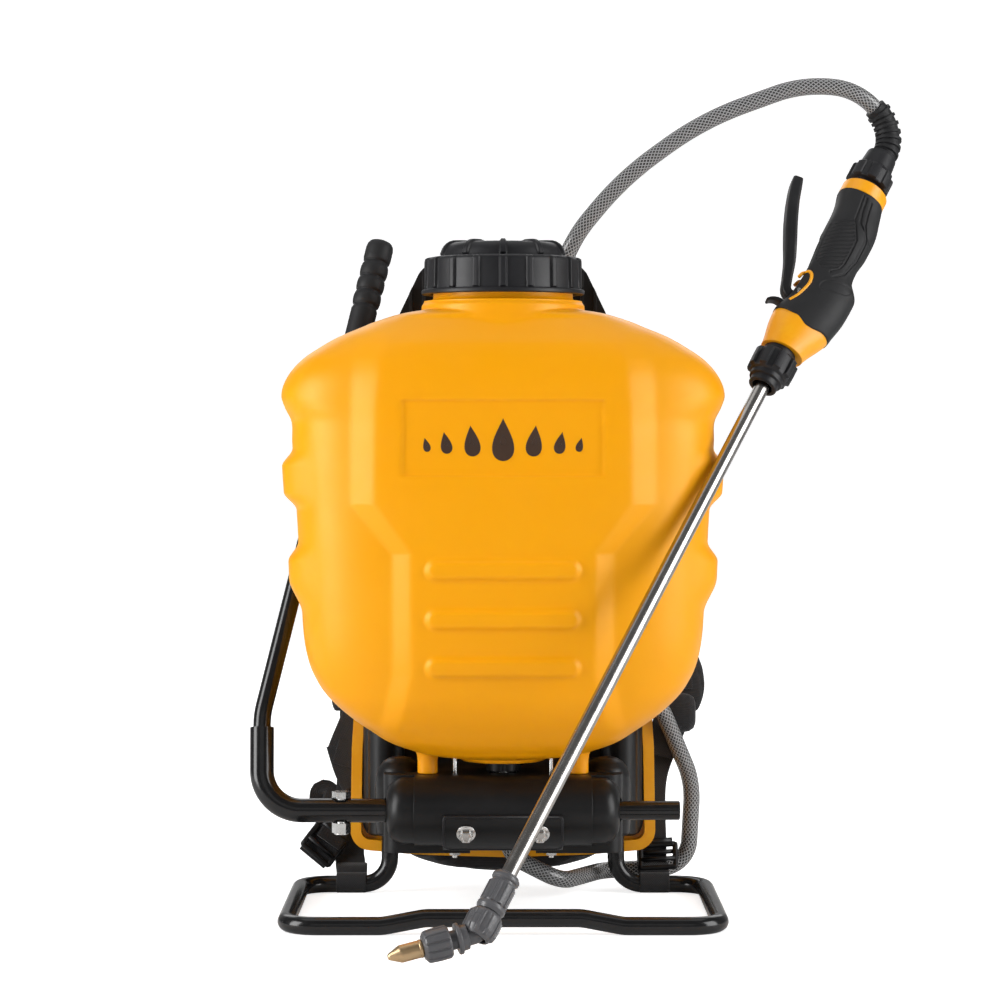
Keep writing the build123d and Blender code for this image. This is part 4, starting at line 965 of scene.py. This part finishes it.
def build_nozzle_end():
    """Ribbed nut on the wand, ribbed elbow collar and cap, and the brass tip."""
    down = along_axis(WAND_FOOT, -WAND_UP)
    profile = stepped([(7.2, -4.0), (8.8, -4.0), (9.0, -2.8), (10.2, -2.2), (10.6, -1.4), (10.6, 0.6), (9.9, 1.4),
                       (9.2, 1.8), (9.2, 3.6), (9.7, 4.2), (9.7, 20.4), (9.3, 21.4), (10.7, 22.0), (11.0, 22.8),
                       (11.0, 25.0), (10.4, 26.0), (9.6, 27.8), (7.2, 28.0)], 0.5)
    nut = turned("wand_foot_nut", profile, down, 10, GREY, "wand", (4.2, 21.2, 9.4), 1.0, 0.9)
    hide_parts("nozzle_nut")
    profile = stepped([(8.0, 28.6), (10.6, 28.7), (11.4, 29.6), (12.0, 31.4), (12.3, 35.0), (12.2, 43.0),
                       (11.2, 46.4), (9.6, 48.8), (8.0, 49.0)])
    turned("elbow_collar", profile, down, 10, GREY, "nozzle_elbow", (30.2, 47.4, 9.4), 1.1, 1.0)
    out = along_axis(NOZZLE_CENTRE, NOZZLE_DIRECTION)
    profile = stepped([(8.0, 7.6), (9.3, 8.0), (9.5, 12.6), (11.2, 12.9), (11.5, 13.4), (11.5, 15.2), (11.1, 15.8),
                       (9.2, 16.0), (8.0, 16.1)])
    turned("elbow_outlet_ring", profile, out, 10, GREY, "nozzle_elbow", (7.0, 7.1, 99), 0.5, 1.0)
    profile = stepped([(8.6, 20.8), (10.8, 20.8), (11.2, 21.6), (11.3, 30.0), (10.9, 37.0), (10.2, 39.4),
                       (8.6, 40.8), (5.6, 41.0), (5.6, 38.6), (8.6, 38.0)])
    cap = turned("nozzle_ribbed_cap", profile, out, 12, GREY, "nozzle_tip", (21.6, 39.6, 9.8), 1.0, 1.9)
    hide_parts("nozzle_cap")
    profile = stepped([(0.8, 36.2), (5.0, 36.2), (5.0, 41.3), (6.3, 41.4), (6.7, 41.9), (6.7, 43.2), (6.2, 43.7),
                       (6.4, 44.2), (6.4, 57.4), (6.1, 58.2), (4.2, 62.4), (2.6, 65.8),
                       (1.9, 66.7), (1.3, 67.0), (0.8, 67.0)])
    tip = turned("brass_nozzle", profile, out, 6, BRASS, "nozzle_tip", (0, 0.1, 99), 0.5, 1.0, 96)
    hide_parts("nozzle_tip")


def build_lever_grip():
    """Rubber grip on the pump lever: plain below, three swollen bands, a rounded top."""
    reach = (LEVER_TOP - LEVER_KNEE).normalized()
    foot = LEVER_TOP - reach * 115 * MM
    profile = [(7.8, 0.0), (9.4, 0.0), (10.3, 0.8), (10.6, 3.0), (10.8, 20.0), (11.0, 52.0)]
    for start in (56, 69, 82):
        profile += [(9.9, start - 1.6), (9.9, start), (11.1, start + 0.9), (11.6, start + 3.5),
                    (11.7, start + 6.0), (11.5, start + 8.8), (11.0, start + 10.8)]
    profile += [(9.9, 94.4), (9.9, 95.6), (11.0, 96.4), (11.5, 99.0), (11.5, 108.0), (10.9, 111.5), (9.4, 113.8),
                (7.0, 114.9), (3.4, 115.0), (0.4, 115.0), (0.4, 110.3), (7.8, 110.2)]
    grip = turned("lever_rubber_grip", stepped(profile, 1.2), along_axis(foot, reach), 6, RUBBER, "lever",
                  (0, 0.1, 99), 0.5, 1.0, 96, 50)
    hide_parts("lever_grip")


build_nozzle_end()
build_lever_grip()


# ---- base mouldings ----
def upright_form(name, x, y, profile, flat, material, body="sprayer"):
    """A closed upright form, round in plan and flattened along Y by the given share."""
    place = lambda a, b, height: Vector((x + a, y + b * flat, height)) * MM
    return turned(name, stepped(profile, 1.5), place, 6, material, body, (0, 0.1, 999), 0.5, 1.0, 96, 60)


def build_base_forms():
    """Domed columns behind the barrel's ends and the rounded walls inside the plate's rim."""
    dome = [(0.5, 60), (17.5, 60), (19.0, 62), (19.5, 70), (19.5, 100), (18.8, 108), (16.8, 114), (13.4, 118.6),
            (9.0, 121.4), (4.5, 122.6), (0.5, 122.8), (0.5, 60.5)]
    wall = [(0.5, 46), (6.0, 46), (9.6, 48), (12.0, 52.5), (13.0, 59), (13.2, 70), (13.2, 168), (12.4, 172),
            (0.5, 172), (0.5, 46.5)]
    for side, name in ((-1, "left"), (1, "right")):
        upright_form(f"base_column_{name}", 83.0 * side, 6, dome, 1.1, BLACK)
        upright_form(f"base_wall_{name}", 104.4 * side, 103.2, wall, 1.15, BLACK)


def hexagon_ring(half_flat, height):
    corner = half_flat / math.cos(math.pi / 6)
    return [(corner * math.cos(TAU * s / 6), corner * math.sin(TAU * s / 6), height) for s in range(6)]


def build_cover_bolts():
    """Two flanged hexagon bolts that hold the crank cover."""
    lean = math.radians(27)
    outward = Vector((0, -math.cos(lean), -math.sin(lean)))
    for side, name in ((-1, "left"), (1, "right")):
        seat = Vector((29 * side, -32, 84)) * MM + outward * 31.5 * MM
        place = along_axis(seat, outward)
        flange = [(0.4, -12.0), (2.9, -12.0), (2.9, 0.1), (7.2, 0.1), (7.6, 0.5), (7.5, 1.2), (6.2, 1.9),
                  (4.0, 2.3), (0.4, 2.4)]
        first = turned(f"cover_bolt_flange_{name}", stepped(flange, 1.0), place, 6, ZINC, "sprayer",
                       (0, 0.1, 99), 0.5, 1.0, 72)
        rings = [hexagon_ring(4.9, 1.8), hexagon_ring(4.9, 6.0), hexagon_ring(4.5, 6.6), hexagon_ring(3.2, 6.6),
                 hexagon_ring(2.9, 6.0)]
        vertices = [place(*corner) for ring in rings for corner in ring]
        faces = ring_faces(len(rings), 6)
        vertices += [place(0, 0, 1.8), place(0, 0, 5.9)]
        faces += cap_fan(0, 6, len(vertices) - 2, flip=True)
        faces += cap_fan(6 * (len(rings) - 1), 6, len(vertices) - 1)
        piece(f"cover_bolt_head_{name}", vertices, faces, ZINC, "sprayer", sharp=30)
        if side < 0:
            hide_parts("cover_bolts")


def build_cover_lip():
    """The rounded lip that runs round the edge of the curved crank cover."""
    reach = 31.4
    half, low, high = 46.6, 1.2, 37.5
    loop = []
    for cx, cz, corner, start in ((half - 3, low + 3, 3, 270), (half - 8, high - 8, 8, 0),
                                  (8 - half, high - 8, 8, 90), (3 - half, low + 3, 3, 180)):
        for s in range(7):
            a = math.radians(start + 15 * s)
            loop.append((cx + corner * math.cos(a), cz + corner * math.sin(a)))
    loop = loop[:7] + [(half, low + 3 + (high - low - 11) * s / 8) for s in range(1, 8)] + loop[7:]
    loop = loop[:28] + [(-half, high - 8 - (high - low - 11) * s / 8) for s in range(1, 8)] + loop[28:]
    points = []
    for x, arc in loop + loop[:1]:
        points.append(Vector((x, -32 - reach * math.cos(arc / reach), 84 - reach * math.sin(arc / reach))) * MM)
    tube("crank_cover_lip", points, 1.0 * MM, LID_BLACK, "sprayer", 12)


build_base_forms()
build_cover_lip()
build_cover_bolts()


# ---- harness ----
RIGHT_STRAP = [
    (47, 127, 471), (49, 143, 482), (58, 174, 461), (68, 198, 400),
    (84, 202, 330), (108, 185, 262), (134, 156, 208), (147, 135, 172), (147, 125, 148),
]
LEFT_STRAP = [
    (-47, 127, 471), (-49, 143, 482), (-54, 174, 461), (-60, 198, 400),
    (-72, 202, 330), (-92, 185, 262), (-112, 156, 208), (-122, 135, 172), (-125, 125, 148),
]
STRAP_HALF_WIDTH = 25.5 * MM
STRAP_HALF_THICK = 5.6 * MM
RIGHT_WEB = [(126, 94.5, 12), (125, 107, 24), (125, 112, 36), (125, 112, 90), (139, 121, 126), (147, 124.6, 146), (147, 128, 164)]
LEFT_WEB = [(-126, 94.5, 12), (-128, 107, 24), (-129, 112, 36), (-127, 112, 90), (-125, 121, 126), (-125, 124.6, 146), (-125, 128, 164)]


def flat_sweep(name, points, outline, material, body, sharp=None):
    """Sweeps a closed outline of (across, through) pairs along points, its width kept along X.
    The outline may be a function of the distance and total length. UVs are in metres."""
    vertices, uvs, length = [], [], 0.0
    total = sum((b - a).length for a, b in zip(points, points[1:]))
    for i, point in enumerate(points):
        ahead, behind = points[min(i + 1, len(points) - 1)], points[max(i - 1, 0)]
        along = ahead - behind
        along = Vector((0, along.y, along.z)).normalized()
        normal = Vector((1, 0, 0)).cross(along)
        if i:
            length += (point - points[i - 1]).length
        shape = outline(length, total) if callable(outline) else outline
        around = 0.0
        for k, (across, through) in enumerate(shape):
            if k:
                around += math.hypot(across - shape[k - 1][0], through - shape[k - 1][1])
            vertices.append(point + Vector((across, 0, 0)) + normal * through)
            uvs.append((around, length))
    faces = ring_faces(len(points), len(shape))
    obj = piece(name, vertices, faces, material, body, uvs, sharp=sharp)
    cap_holes(obj)
    return obj


def padded_outline(distance, total):
    """Crowned strap section with a thin bound edge, closing in at both ends."""
    end = min(1.0, math.sqrt(max(0.0, min(distance, total - distance)) / (14 * MM)) * 0.75 + 0.25)
    taper = 0.62 + 0.38 * math.sqrt(min(1.0, distance / (30 * MM), (total - distance) / (40 * MM)))
    quilt = 1.0 - 0.16 * math.exp(-((distance % (58 * MM) - 29 * MM) / (2.2 * MM)) ** 2)
    shape, steps = [], 48
    for s in range(steps):
        a = TAU * s / steps
        across = math.copysign(abs(math.cos(a)) ** 0.55, math.cos(a)) * STRAP_HALF_WIDTH * taper
        share = abs(across) / STRAP_HALF_WIDTH
        crown = 1.0 - 0.5 * max(0.0, share - 0.78) / 0.22
        groove = 1.0 - 0.3 * math.exp(-((share - 0.80) / 0.03) ** 2)
        through = math.copysign(abs(math.sin(a)) ** 0.6, math.sin(a)) * STRAP_HALF_THICK
        shape.append((across, through * crown * groove * quilt * end))
    return shape


def web_outline(half_width=12.5 * MM, half_thick=0.9 * MM):
    """Flat webbing section with a slightly thicker woven edge."""
    shape = []
    for s in range(32):
        a = TAU * s / 32
        across = math.copysign(abs(math.cos(a)) ** 0.35, math.cos(a)) * half_width
        through = math.copysign(abs(math.sin(a)) ** 0.5, math.sin(a)) * half_thick
        shape.append((across, through * (1.15 if abs(across) > 0.85 * half_width else 1.0)))
    return shape


def build_strap(side, path, web_path):
    centre = smooth_curve([Vector(p) * MM for p in path], 22)
    strap = flat_sweep(f"{side}_shoulder_strap", centre, padded_outline, CLOTH, "sprayer")
    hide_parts(f"{side}_strap")
    # Webbing sewn down the middle of the pad's outer face.
    lift = [c + Vector((0, 0, 0)) for c in centre[10:-16]]
    runs = []
    for i, point in enumerate(lift):
        ahead, behind = lift[min(i + 1, len(lift) - 1)], lift[max(i - 1, 0)]
        along = ahead - behind
        normal = Vector((1, 0, 0)).cross(Vector((0, along.y, along.z)).normalized())
        runs.append(point - normal * (STRAP_HALF_THICK + 0.5 * MM))
    flat_sweep(f"{side}_strap_webbing", runs, web_outline(), WEB, "sprayer")
    low = smooth_curve([Vector(p) * MM for p in web_path], 14)
    web = flat_sweep(f"{side}_web_run", low, web_outline(), WEB, "sprayer")
    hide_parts(f"{side}_webbing")
    # The loop sewn round the frame's rear bar.
    x = web_path[0][0] * MM
    loop = []
    for s in range(49):
        a = TAU * s / 48 + 0.6
        loop.append(Vector((x, 0.088 + 0.0082 * math.cos(a), 0.0082 + 0.0082 * math.sin(a) * 0.94)))
    flat_sweep(f"{side}_web_loop", loop, web_outline(12.4 * MM, 0.8 * MM), WEB, "sprayer")
    # Stitched bar that closes the loop.
    bar = [Vector((x, 0.0935, 0.0125)), Vector((x, 0.0985, 0.0172)), Vector((x, 0.1035, 0.0215))]
    flat_sweep(f"{side}_web_tack", bar, web_outline(12.6 * MM, 1.7 * MM), WEB, "sprayer")


build_strap("right", RIGHT_STRAP, RIGHT_WEB)
build_strap("left", LEFT_STRAP, LEFT_WEB)


def ladder_lock(name, place, across, along, wide=36 * MM, tall=23 * MM):
    """Moulded ladder-lock: a rounded frame with two cross bars and a turned-up lip."""
    across, along = Vector(across).normalized(), Vector(along).normalized()
    out = across.cross(along)
    corners = [(-wide / 2, -tall / 2), (wide / 2, -tall / 2), (wide / 2, tall / 2), (-wide / 2, tall / 2)]
    loop = []
    for i, (a, b) in enumerate(corners):
        ahead, behind = corners[(i + 1) % 4], corners[i - 1]
        for share in (0.86, 0.93, 1.0):
            loop.append((behind[0] + (a - behind[0]) * share * 0.985, behind[1] + (b - behind[1]) * share * 0.985))
        for share in (0.03, 0.1):
            loop.append((a + (ahead[0] - a) * share, b + (ahead[1] - b) * share))
    loop.append(loop[0])
    loop.append(loop[1])
    points = [Vector(place) + across * a + along * b for a, b in loop]
    tube(f"{name}_frame", points, 2.3 * MM, BLACK, "sprayer", 16)
    for number, (b, rise) in enumerate(((-tall * 0.16, 1.6 * MM), (tall * 0.2, -1.2 * MM))):
        ends = [Vector(place) + across * a + along * b + out * rise for a in (-wide / 2, 0, wide / 2)]
        tube(f"{name}_bar_{number + 1}", ends, 1.9 * MM, BLACK, "sprayer", 12)
    lip = [Vector(place) + across * a + along * (tall / 2 + 2.5 * MM) + out * 1.5 * MM
           for a in (-wide * 0.42, 0, wide * 0.42)]
    return tube(f"{name}_lip", lip, 2.6 * MM, BLACK, "sprayer", 14)


def turned_web(name, points, normals, half_width=12.5 * MM, half_thick=0.9 * MM):
    """Webbing along points whose flat faces look along the given normals."""
    vertices, uvs, length = [], [], 0.0
    shape = web_outline(half_width, half_thick)
    for i, (point, normal) in enumerate(zip(points, normals)):
        ahead, behind = points[min(i + 1, len(points) - 1)], points[max(i - 1, 0)]
        along = (ahead - behind).normalized()
        across = along.cross(normal).normalized()
        through = across.cross(along).normalized()
        if i:
            length += (point - points[i - 1]).length
        for k, (a, b) in enumerate(shape):
            vertices.append(point + across * a + through * b)
            uvs.append((a, length))
    obj = piece(name, vertices, ring_faces(len(points), len(shape)), WEB, "sprayer", uvs)
    cap_holes(obj)
    return obj


def build_web_details():
    """Ladder-locks near the frame, the loose tails of the webbing and the folds under the straps."""
    lock = ladder_lock("right_lock", (0.1300, 0.1035, 0.028), (1, 0, 0.06), (0, 0.55, 0.83), 29 * MM, 21 * MM)
    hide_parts("right_buckle")
    lock = ladder_lock("left_lock", (-0.1500, 0.1010, 0.0385), (0.62, 0.1, -0.55), (0.55, 0.35, 0.70), 28 * MM, 23 * MM)
    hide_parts("left_buckle")
    path = [(-0.146, 0.0985, 0.040), (-0.141, 0.1035, 0.048), (-0.137, 0.107, 0.058), (-0.142, 0.110, 0.072),
            (-0.150, 0.111, 0.080), (-0.151, 0.112, 0.071), (-0.1485, 0.110, 0.060)]
    points = smooth_curve([Vector(p) for p in path], 10)
    turned_web("left_web_tail", points, [Vector((0.25, -1, 0.15))] * len(points), 11.5 * MM)
    centre = Vector((0.1475, 0.117, 0.147))
    profile = [(0.4, -14.5), (9.0, -14.3), (13.0, -12.8), (15.6, -9.0), (16.6, -3.0), (16.6, 3.0), (15.6, 9.0),
               (13.0, 12.8), (9.0, 14.3), (0.4, 14.5)]
    turned("right_strap_fold", stepped(profile, 1.2), lambda a, b, h: centre + Vector((h, a * 0.66, b)) * MM, 6,
           CLOTH, "sprayer", (0, 0.1, 99), 0.5, 1.0, 72, 60)
    bands = (
        [(-0.1190, 0.1130, 0.160), (-0.1255, 0.1105, 0.142), (-0.1330, 0.1090, 0.124), (-0.1370, 0.1090, 0.1135)],
        [(-0.1400, 0.1075, 0.1165), (-0.1290, 0.1075, 0.1135), (-0.1180, 0.1080, 0.1120)],
        [(-0.1375, 0.1092, 0.122), (-0.1310, 0.1085, 0.101), (-0.1240, 0.1085, 0.086)],
    )
    for number, band in enumerate(bands):
        points = smooth_curve([Vector(p) for p in band], 8)
        turned_web(f"left_web_fold_{number + 1}", points, [Vector((0, -1, 0.1))] * len(points), 11 * MM, 1.0 * MM)
    path = [(-0.1600, 0.0990, 0.0265), (-0.1500, 0.1022, 0.0385), (-0.1400, 0.1065, 0.0500)]
    points = smooth_curve([Vector(p) for p in path], 8)
    turned_web("left_lock_web", points, [Vector((0.2, -1, 0.3))] * len(points), 13.2 * MM, 1.2 * MM)
    path = [(0.1405, 0.1105, 0.150), (0.1380, 0.1080, 0.140), (0.1345, 0.107, 0.128), (0.1300, 0.1085, 0.112)]
    points = smooth_curve([Vector(p) for p in path], 8)
    turned_web("right_web_second", points, [Vector((0.1, -1, 0.05))] * len(points), 12.5 * MM)


build_web_details()


# ---- printed spray mark ----
def front_y(x, z):
    """Front face of the tank over a point of the recess, in millimetres."""
    height = np.full_like(x, z)
    half = along_height(TANK_OUTLINE, 1, height)
    front = TANK_CENTRE_Y - along_height(TANK_OUTLINE, 2, height)
    plain = TANK_CENTRE_Y - front * (1 - np.abs(x / half) ** FRONT_POWER) ** (1 / FRONT_POWER)
    return plain - front_relief(x, height)


def drop_outline(middle_x, middle_z, size, lean=0.0, count=40):
    """Outline of a falling drop: a round belly under a point."""
    points = []
    for s in range(count):
        a = TAU * s / count
        x = math.sin(a) * math.sin(a / 2) ** 1.4 * size * 0.72
        z = math.cos(a) * size
        points.append((middle_x + x * math.cos(lean) - z * math.sin(lean),
                       middle_z + x * math.sin(lean) + z * math.cos(lean)))
    return points


def printed_shape(name, outline):
    """A thin printed patch that lies on the recess."""
    centre = (sum(p[0] for p in outline) / len(outline), sum(p[1] for p in outline) / len(outline))
    vertices, rings = [], (1.0, 0.75, 0.5, 0.25)
    for lift in (-0.16, 0.6):
        for share in rings:
            for x, z in outline:
                px, pz = centre[0] + (x - centre[0]) * share, centre[1] + (z - centre[1]) * share
                y = float(front_y(np.array([px]), pz)[0]) + lift
                vertices.append(Vector((px, y, pz)) * MM)
    count, level = len(outline), len(outline) * len(rings)
    faces = []
    for side in (0, 1):
        strips = ring_faces(len(rings), count)
        faces += [tuple(v + side * level for v in (f if side else reversed(f))) for f in strips]
    faces += [(i, (i + 1) % count, level + (i + 1) % count, level + i) for i in range(count)]
    for side, lift in ((0, -0.16), (1, 0.6)):
        y = float(front_y(np.array([centre[0]]), centre[1])[0]) + lift
        vertices.append(Vector((centre[0], y, centre[1])) * MM)
        faces += cap_fan(side * level + (len(rings) - 1) * count, count, len(vertices) - 1, flip=bool(side))
    return piece(name, vertices, faces, PRINT, "sprayer", smooth=False)


def build_print():
    """A plain spray sign: one large drop between smaller ones."""
    drops = ((0, 378, 16.5, 0), (-24, 377, 12, 0.10), (24, 377, 12, -0.10), (-44, 375.5, 8.5, 0.18),
             (44, 375.5, 8.5, -0.18), (-59, 374, 5.5, 0.24), (59, 374, 5.5, -0.24))
    for number, (x, z, size, lean) in enumerate(drops):
        printed_shape(f"spray_mark_{number + 1}", drop_outline(x, z, size, lean))


build_print()


# ---- pads: simulated cushions ----
PAD_SHRINK = 3 * MM
PAD_CAP = 6 * MM


def block_mesh(outline, y_low, y_high):
    """A solid from a closed outline of (x, z) pairs, pulled in by the cushion's swelling."""
    bm = bmesh.new()
    front = [bm.verts.new((x, y_low, z)) for x, z in outline]
    back = [bm.verts.new((x, y_high, z)) for x, z in outline]
    bm.faces.new(front)
    bm.faces.new(list(reversed(back)))
    for i in range(len(outline)):
        j = (i + 1) % len(outline)
        bm.faces.new((front[j], front[i], back[i], back[j]))
    bmesh.ops.recalc_face_normals(bm, faces=bm.faces)
    return bm


def cushion(name, outline, y_low, y_high, node, channels):
    """A swollen pad: remeshed block, inflated as cloth, with sewn channels pressed in after."""
    mesh = bpy.data.meshes.new(name)
    bm = block_mesh(outline, y_low + PAD_SHRINK * 0.4, y_high - PAD_SHRINK)
    bm.to_mesh(mesh)
    bm.free()
    obj = bpy.data.objects.new(name, mesh)
    scene.collection.objects.link(obj)
    remesh = obj.modifiers.new("remesh", "REMESH")
    remesh.mode = "VOXEL"
    remesh.voxel_size = 5 * MM
    apply_modifiers(obj)
    rest = np.array([v.co for v in obj.data.vertices])
    cloth = obj.modifiers.new("cloth", "CLOTH")
    cloth.settings.use_pressure = True
    cloth.settings.uniform_pressure_force = 4
    cloth.settings.effector_weights.gravity = 0
    cloth.settings.quality = 6
    cloth.point_cache.frame_end = 20
    for number in range(1, 21):
        scene.frame_set(number)
    apply_modifiers(obj)
    scene.frame_set(1)
    moved = np.array([v.co for v in obj.data.vertices]) - rest
    size = np.linalg.norm(moved, axis=1, keepdims=True)
    moved *= np.minimum(1, PAD_CAP / np.maximum(size, 1e-9))
    points = rest + moved
    points[:, 1] = np.clip(points[:, 1], y_low, y_high + 4 * MM)
    for v, p in zip(obj.data.vertices, points):
        v.co = p
    subdivide = obj.modifiers.new("subdivide", "SUBSURF")
    subdivide.levels = 1
    apply_modifiers(obj)
    middle = (y_low + y_high) / 2
    for v in obj.data.vertices:
        if v.co.y > middle:
            press = max(channel(v.co.x, v.co.z) for channel in channels)
            v.co.y -= press * 5 * MM
    finish_piece(obj, CLOTH, "sprayer")
    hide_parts(node)
    return obj


def across_channel(z, width=3.2 * MM, half=1.0):
    return lambda x, height: math.exp(-((height - z) / width) ** 2) if abs(x) < half else 0.0


def upright_channel(x0, width=3.2 * MM, low=-1.0, high=1.0):
    return lambda x, z: math.exp(-((x - x0) / width) ** 2) if low < z < high else 0.0


def pad_outline(half, low, high, corner, sag=0.0, steps=8):
    """Rounded rectangle in X and Z, its lower edge bowed down by sag."""
    points = []
    for cx, cz, start in ((half, low, -90), (half, high, 0), (-half, high, 90), (-half, low, 180)):
        for s in range(steps + 1):
            a = math.radians(start + 90 * s / steps)
            x = cx - math.copysign(corner, cx) + corner * math.cos(a)
            z = cz + (corner if cz == low else -corner) + corner * math.sin(a)
            points.append((x, z))
    bowed = []
    for x, z in points:
        share = 1 - (x / half) ** 2
        bowed.append((x, z - sag * share if z < (low + high) / 2 else z))
    for s in range(1, 12):
        x = -half + corner + (2 * half - 2 * corner) * s / 12
        bowed.append((x, low - sag * (1 - (x / half) ** 2)))
    return bowed


def build_pads():
    low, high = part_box("back_pad")
    outline = pad_outline(high.x - 1 * MM, low.z + 1 * MM, high.z - 1 * MM, 22 * MM)
    rows = [across_channel(z * MM) for z in (205, 262, 319, 376)]
    columns = [upright_channel(0)]
    cushion("back_cushion", outline, low.y, high.y, "back_pad", rows + columns)
    low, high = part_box("lumbar_pad")
    outline = pad_outline(high.x - 1 * MM, low.z + 24 * MM, high.z - 1 * MM, 14 * MM, 22 * MM)
    curves = [upright_channel(x * MM) for x in (-48, 48)]
    cushion("lumbar_cushion", outline, low.y, high.y, "lumbar_pad", curves + [across_channel(88 * MM)])


build_pads()


# ---- floor, light and camera ----
def stage_material():
    """Pale floor that the camera sees a little brighter than the light makes it."""
    g = Graph("pale_floor")
    tone = g.noise(3, 3, 0.5)
    base = g.mix(tone, (0.86, 0.86, 0.86), (0.90, 0.90, 0.90))
    material = g.done(base, g.span(g.noise(25, 3, 0.5), 0.3, 0.7, 0.6, 0.75))
    seen = g.tree.nodes.new("ShaderNodeLightPath").outputs["Is Camera Ray"]
    g.shader.inputs["Emission Color"].default_value = (1, 1, 1, 1)
    g.put(g.shader.inputs["Emission Strength"], g.math("MULTIPLY", seen, 0.75))
    return material


def build_floor():
    """A floor that curves up into a backdrop far behind."""
    rows = [(-6.0, 0.0)]
    for s in range(13):
        a = math.radians(90 * s / 12)
        rows.append((3.0 + 2.0 * math.sin(a), 2.0 - 2.0 * math.cos(a)))
    rows.append((5.0, 8.0))
    vertices = []
    for y, z in rows:
        vertices += [(-9.0, y, z), (9.0, y, z)]
    faces = [(2 * i, 2 * i + 1, 2 * i + 3, 2 * i + 2) for i in range(len(rows) - 1)]
    mesh = bpy.data.meshes.new("floor")
    mesh.from_pydata(vertices, [], faces)
    obj = bpy.data.objects.new("floor", mesh)
    scene.collection.objects.link(obj)
    mesh.materials.append(stage_material())
    for polygon in mesh.polygons:
        polygon.use_smooth = True


def soft_box(name, place, target, size, power):
    light = bpy.data.lights.new(name, "AREA")
    light.shape = "RECTANGLE"
    light.size, light.size_y = size
    light.energy = power
    obj = bpy.data.objects.new(name, light)
    obj.location = place
    obj.rotation_euler = (Vector(target) - Vector(place)).to_track_quat("-Z", "Y").to_euler()
    scene.collection.objects.link(obj)


def build_lights():
    """Two tall soft boxes at the sides, weaker ones in front, above and behind."""
    middle = (0, 0, 0.3)
    soft_box("left_box", (-2.2, -0.9, 0.8), middle, (1.2, 2.2), 66)
    soft_box("right_box", (2.2, -0.9, 0.8), middle, (1.4, 2.2), 56)
    soft_box("front_fill", (0.0, -3.4, 1.5), middle, (2.4, 1.0), 3)
    soft_box("top_box", (0.0, 0.2, 2.4), middle, (2.4, 1.6), 10)
    soft_box("back_box", (0.0, 2.4, 1.8), middle, (3.0, 1.5), 20)
    world = bpy.data.worlds.new("studio")
    world.use_nodes = True
    world.node_tree.nodes["Background"].inputs["Color"].default_value = (1, 1, 1, 1)
    tree = world.node_tree
    seen = tree.nodes.new("ShaderNodeLightPath").outputs["Is Camera Ray"]
    brighter = tree.nodes.new("ShaderNodeMath")
    brighter.operation = "MULTIPLY_ADD"
    brighter.inputs[1].default_value = 0.84
    brighter.inputs[2].default_value = 0.16
    tree.links.new(seen, brighter.inputs[0])
    tree.links.new(brighter.outputs[0], tree.nodes["Background"].inputs["Strength"])
    scene.world = world


def build_camera():
    camera = bpy.data.cameras.new("camera")
    camera.lens = 108
    camera.sensor_width = 36
    camera.clip_end = 50
    obj = bpy.data.objects.new("camera", camera)
    obj.location = (-0.0024, -2.4, 0.393)
    obj.rotation_euler = (math.radians(90 - 1.527), 0, 0)
    scene.collection.objects.link(obj)
    scene.camera = obj


build_floor()
build_lights()
build_camera()
scene.view_settings.view_transform = "Standard"
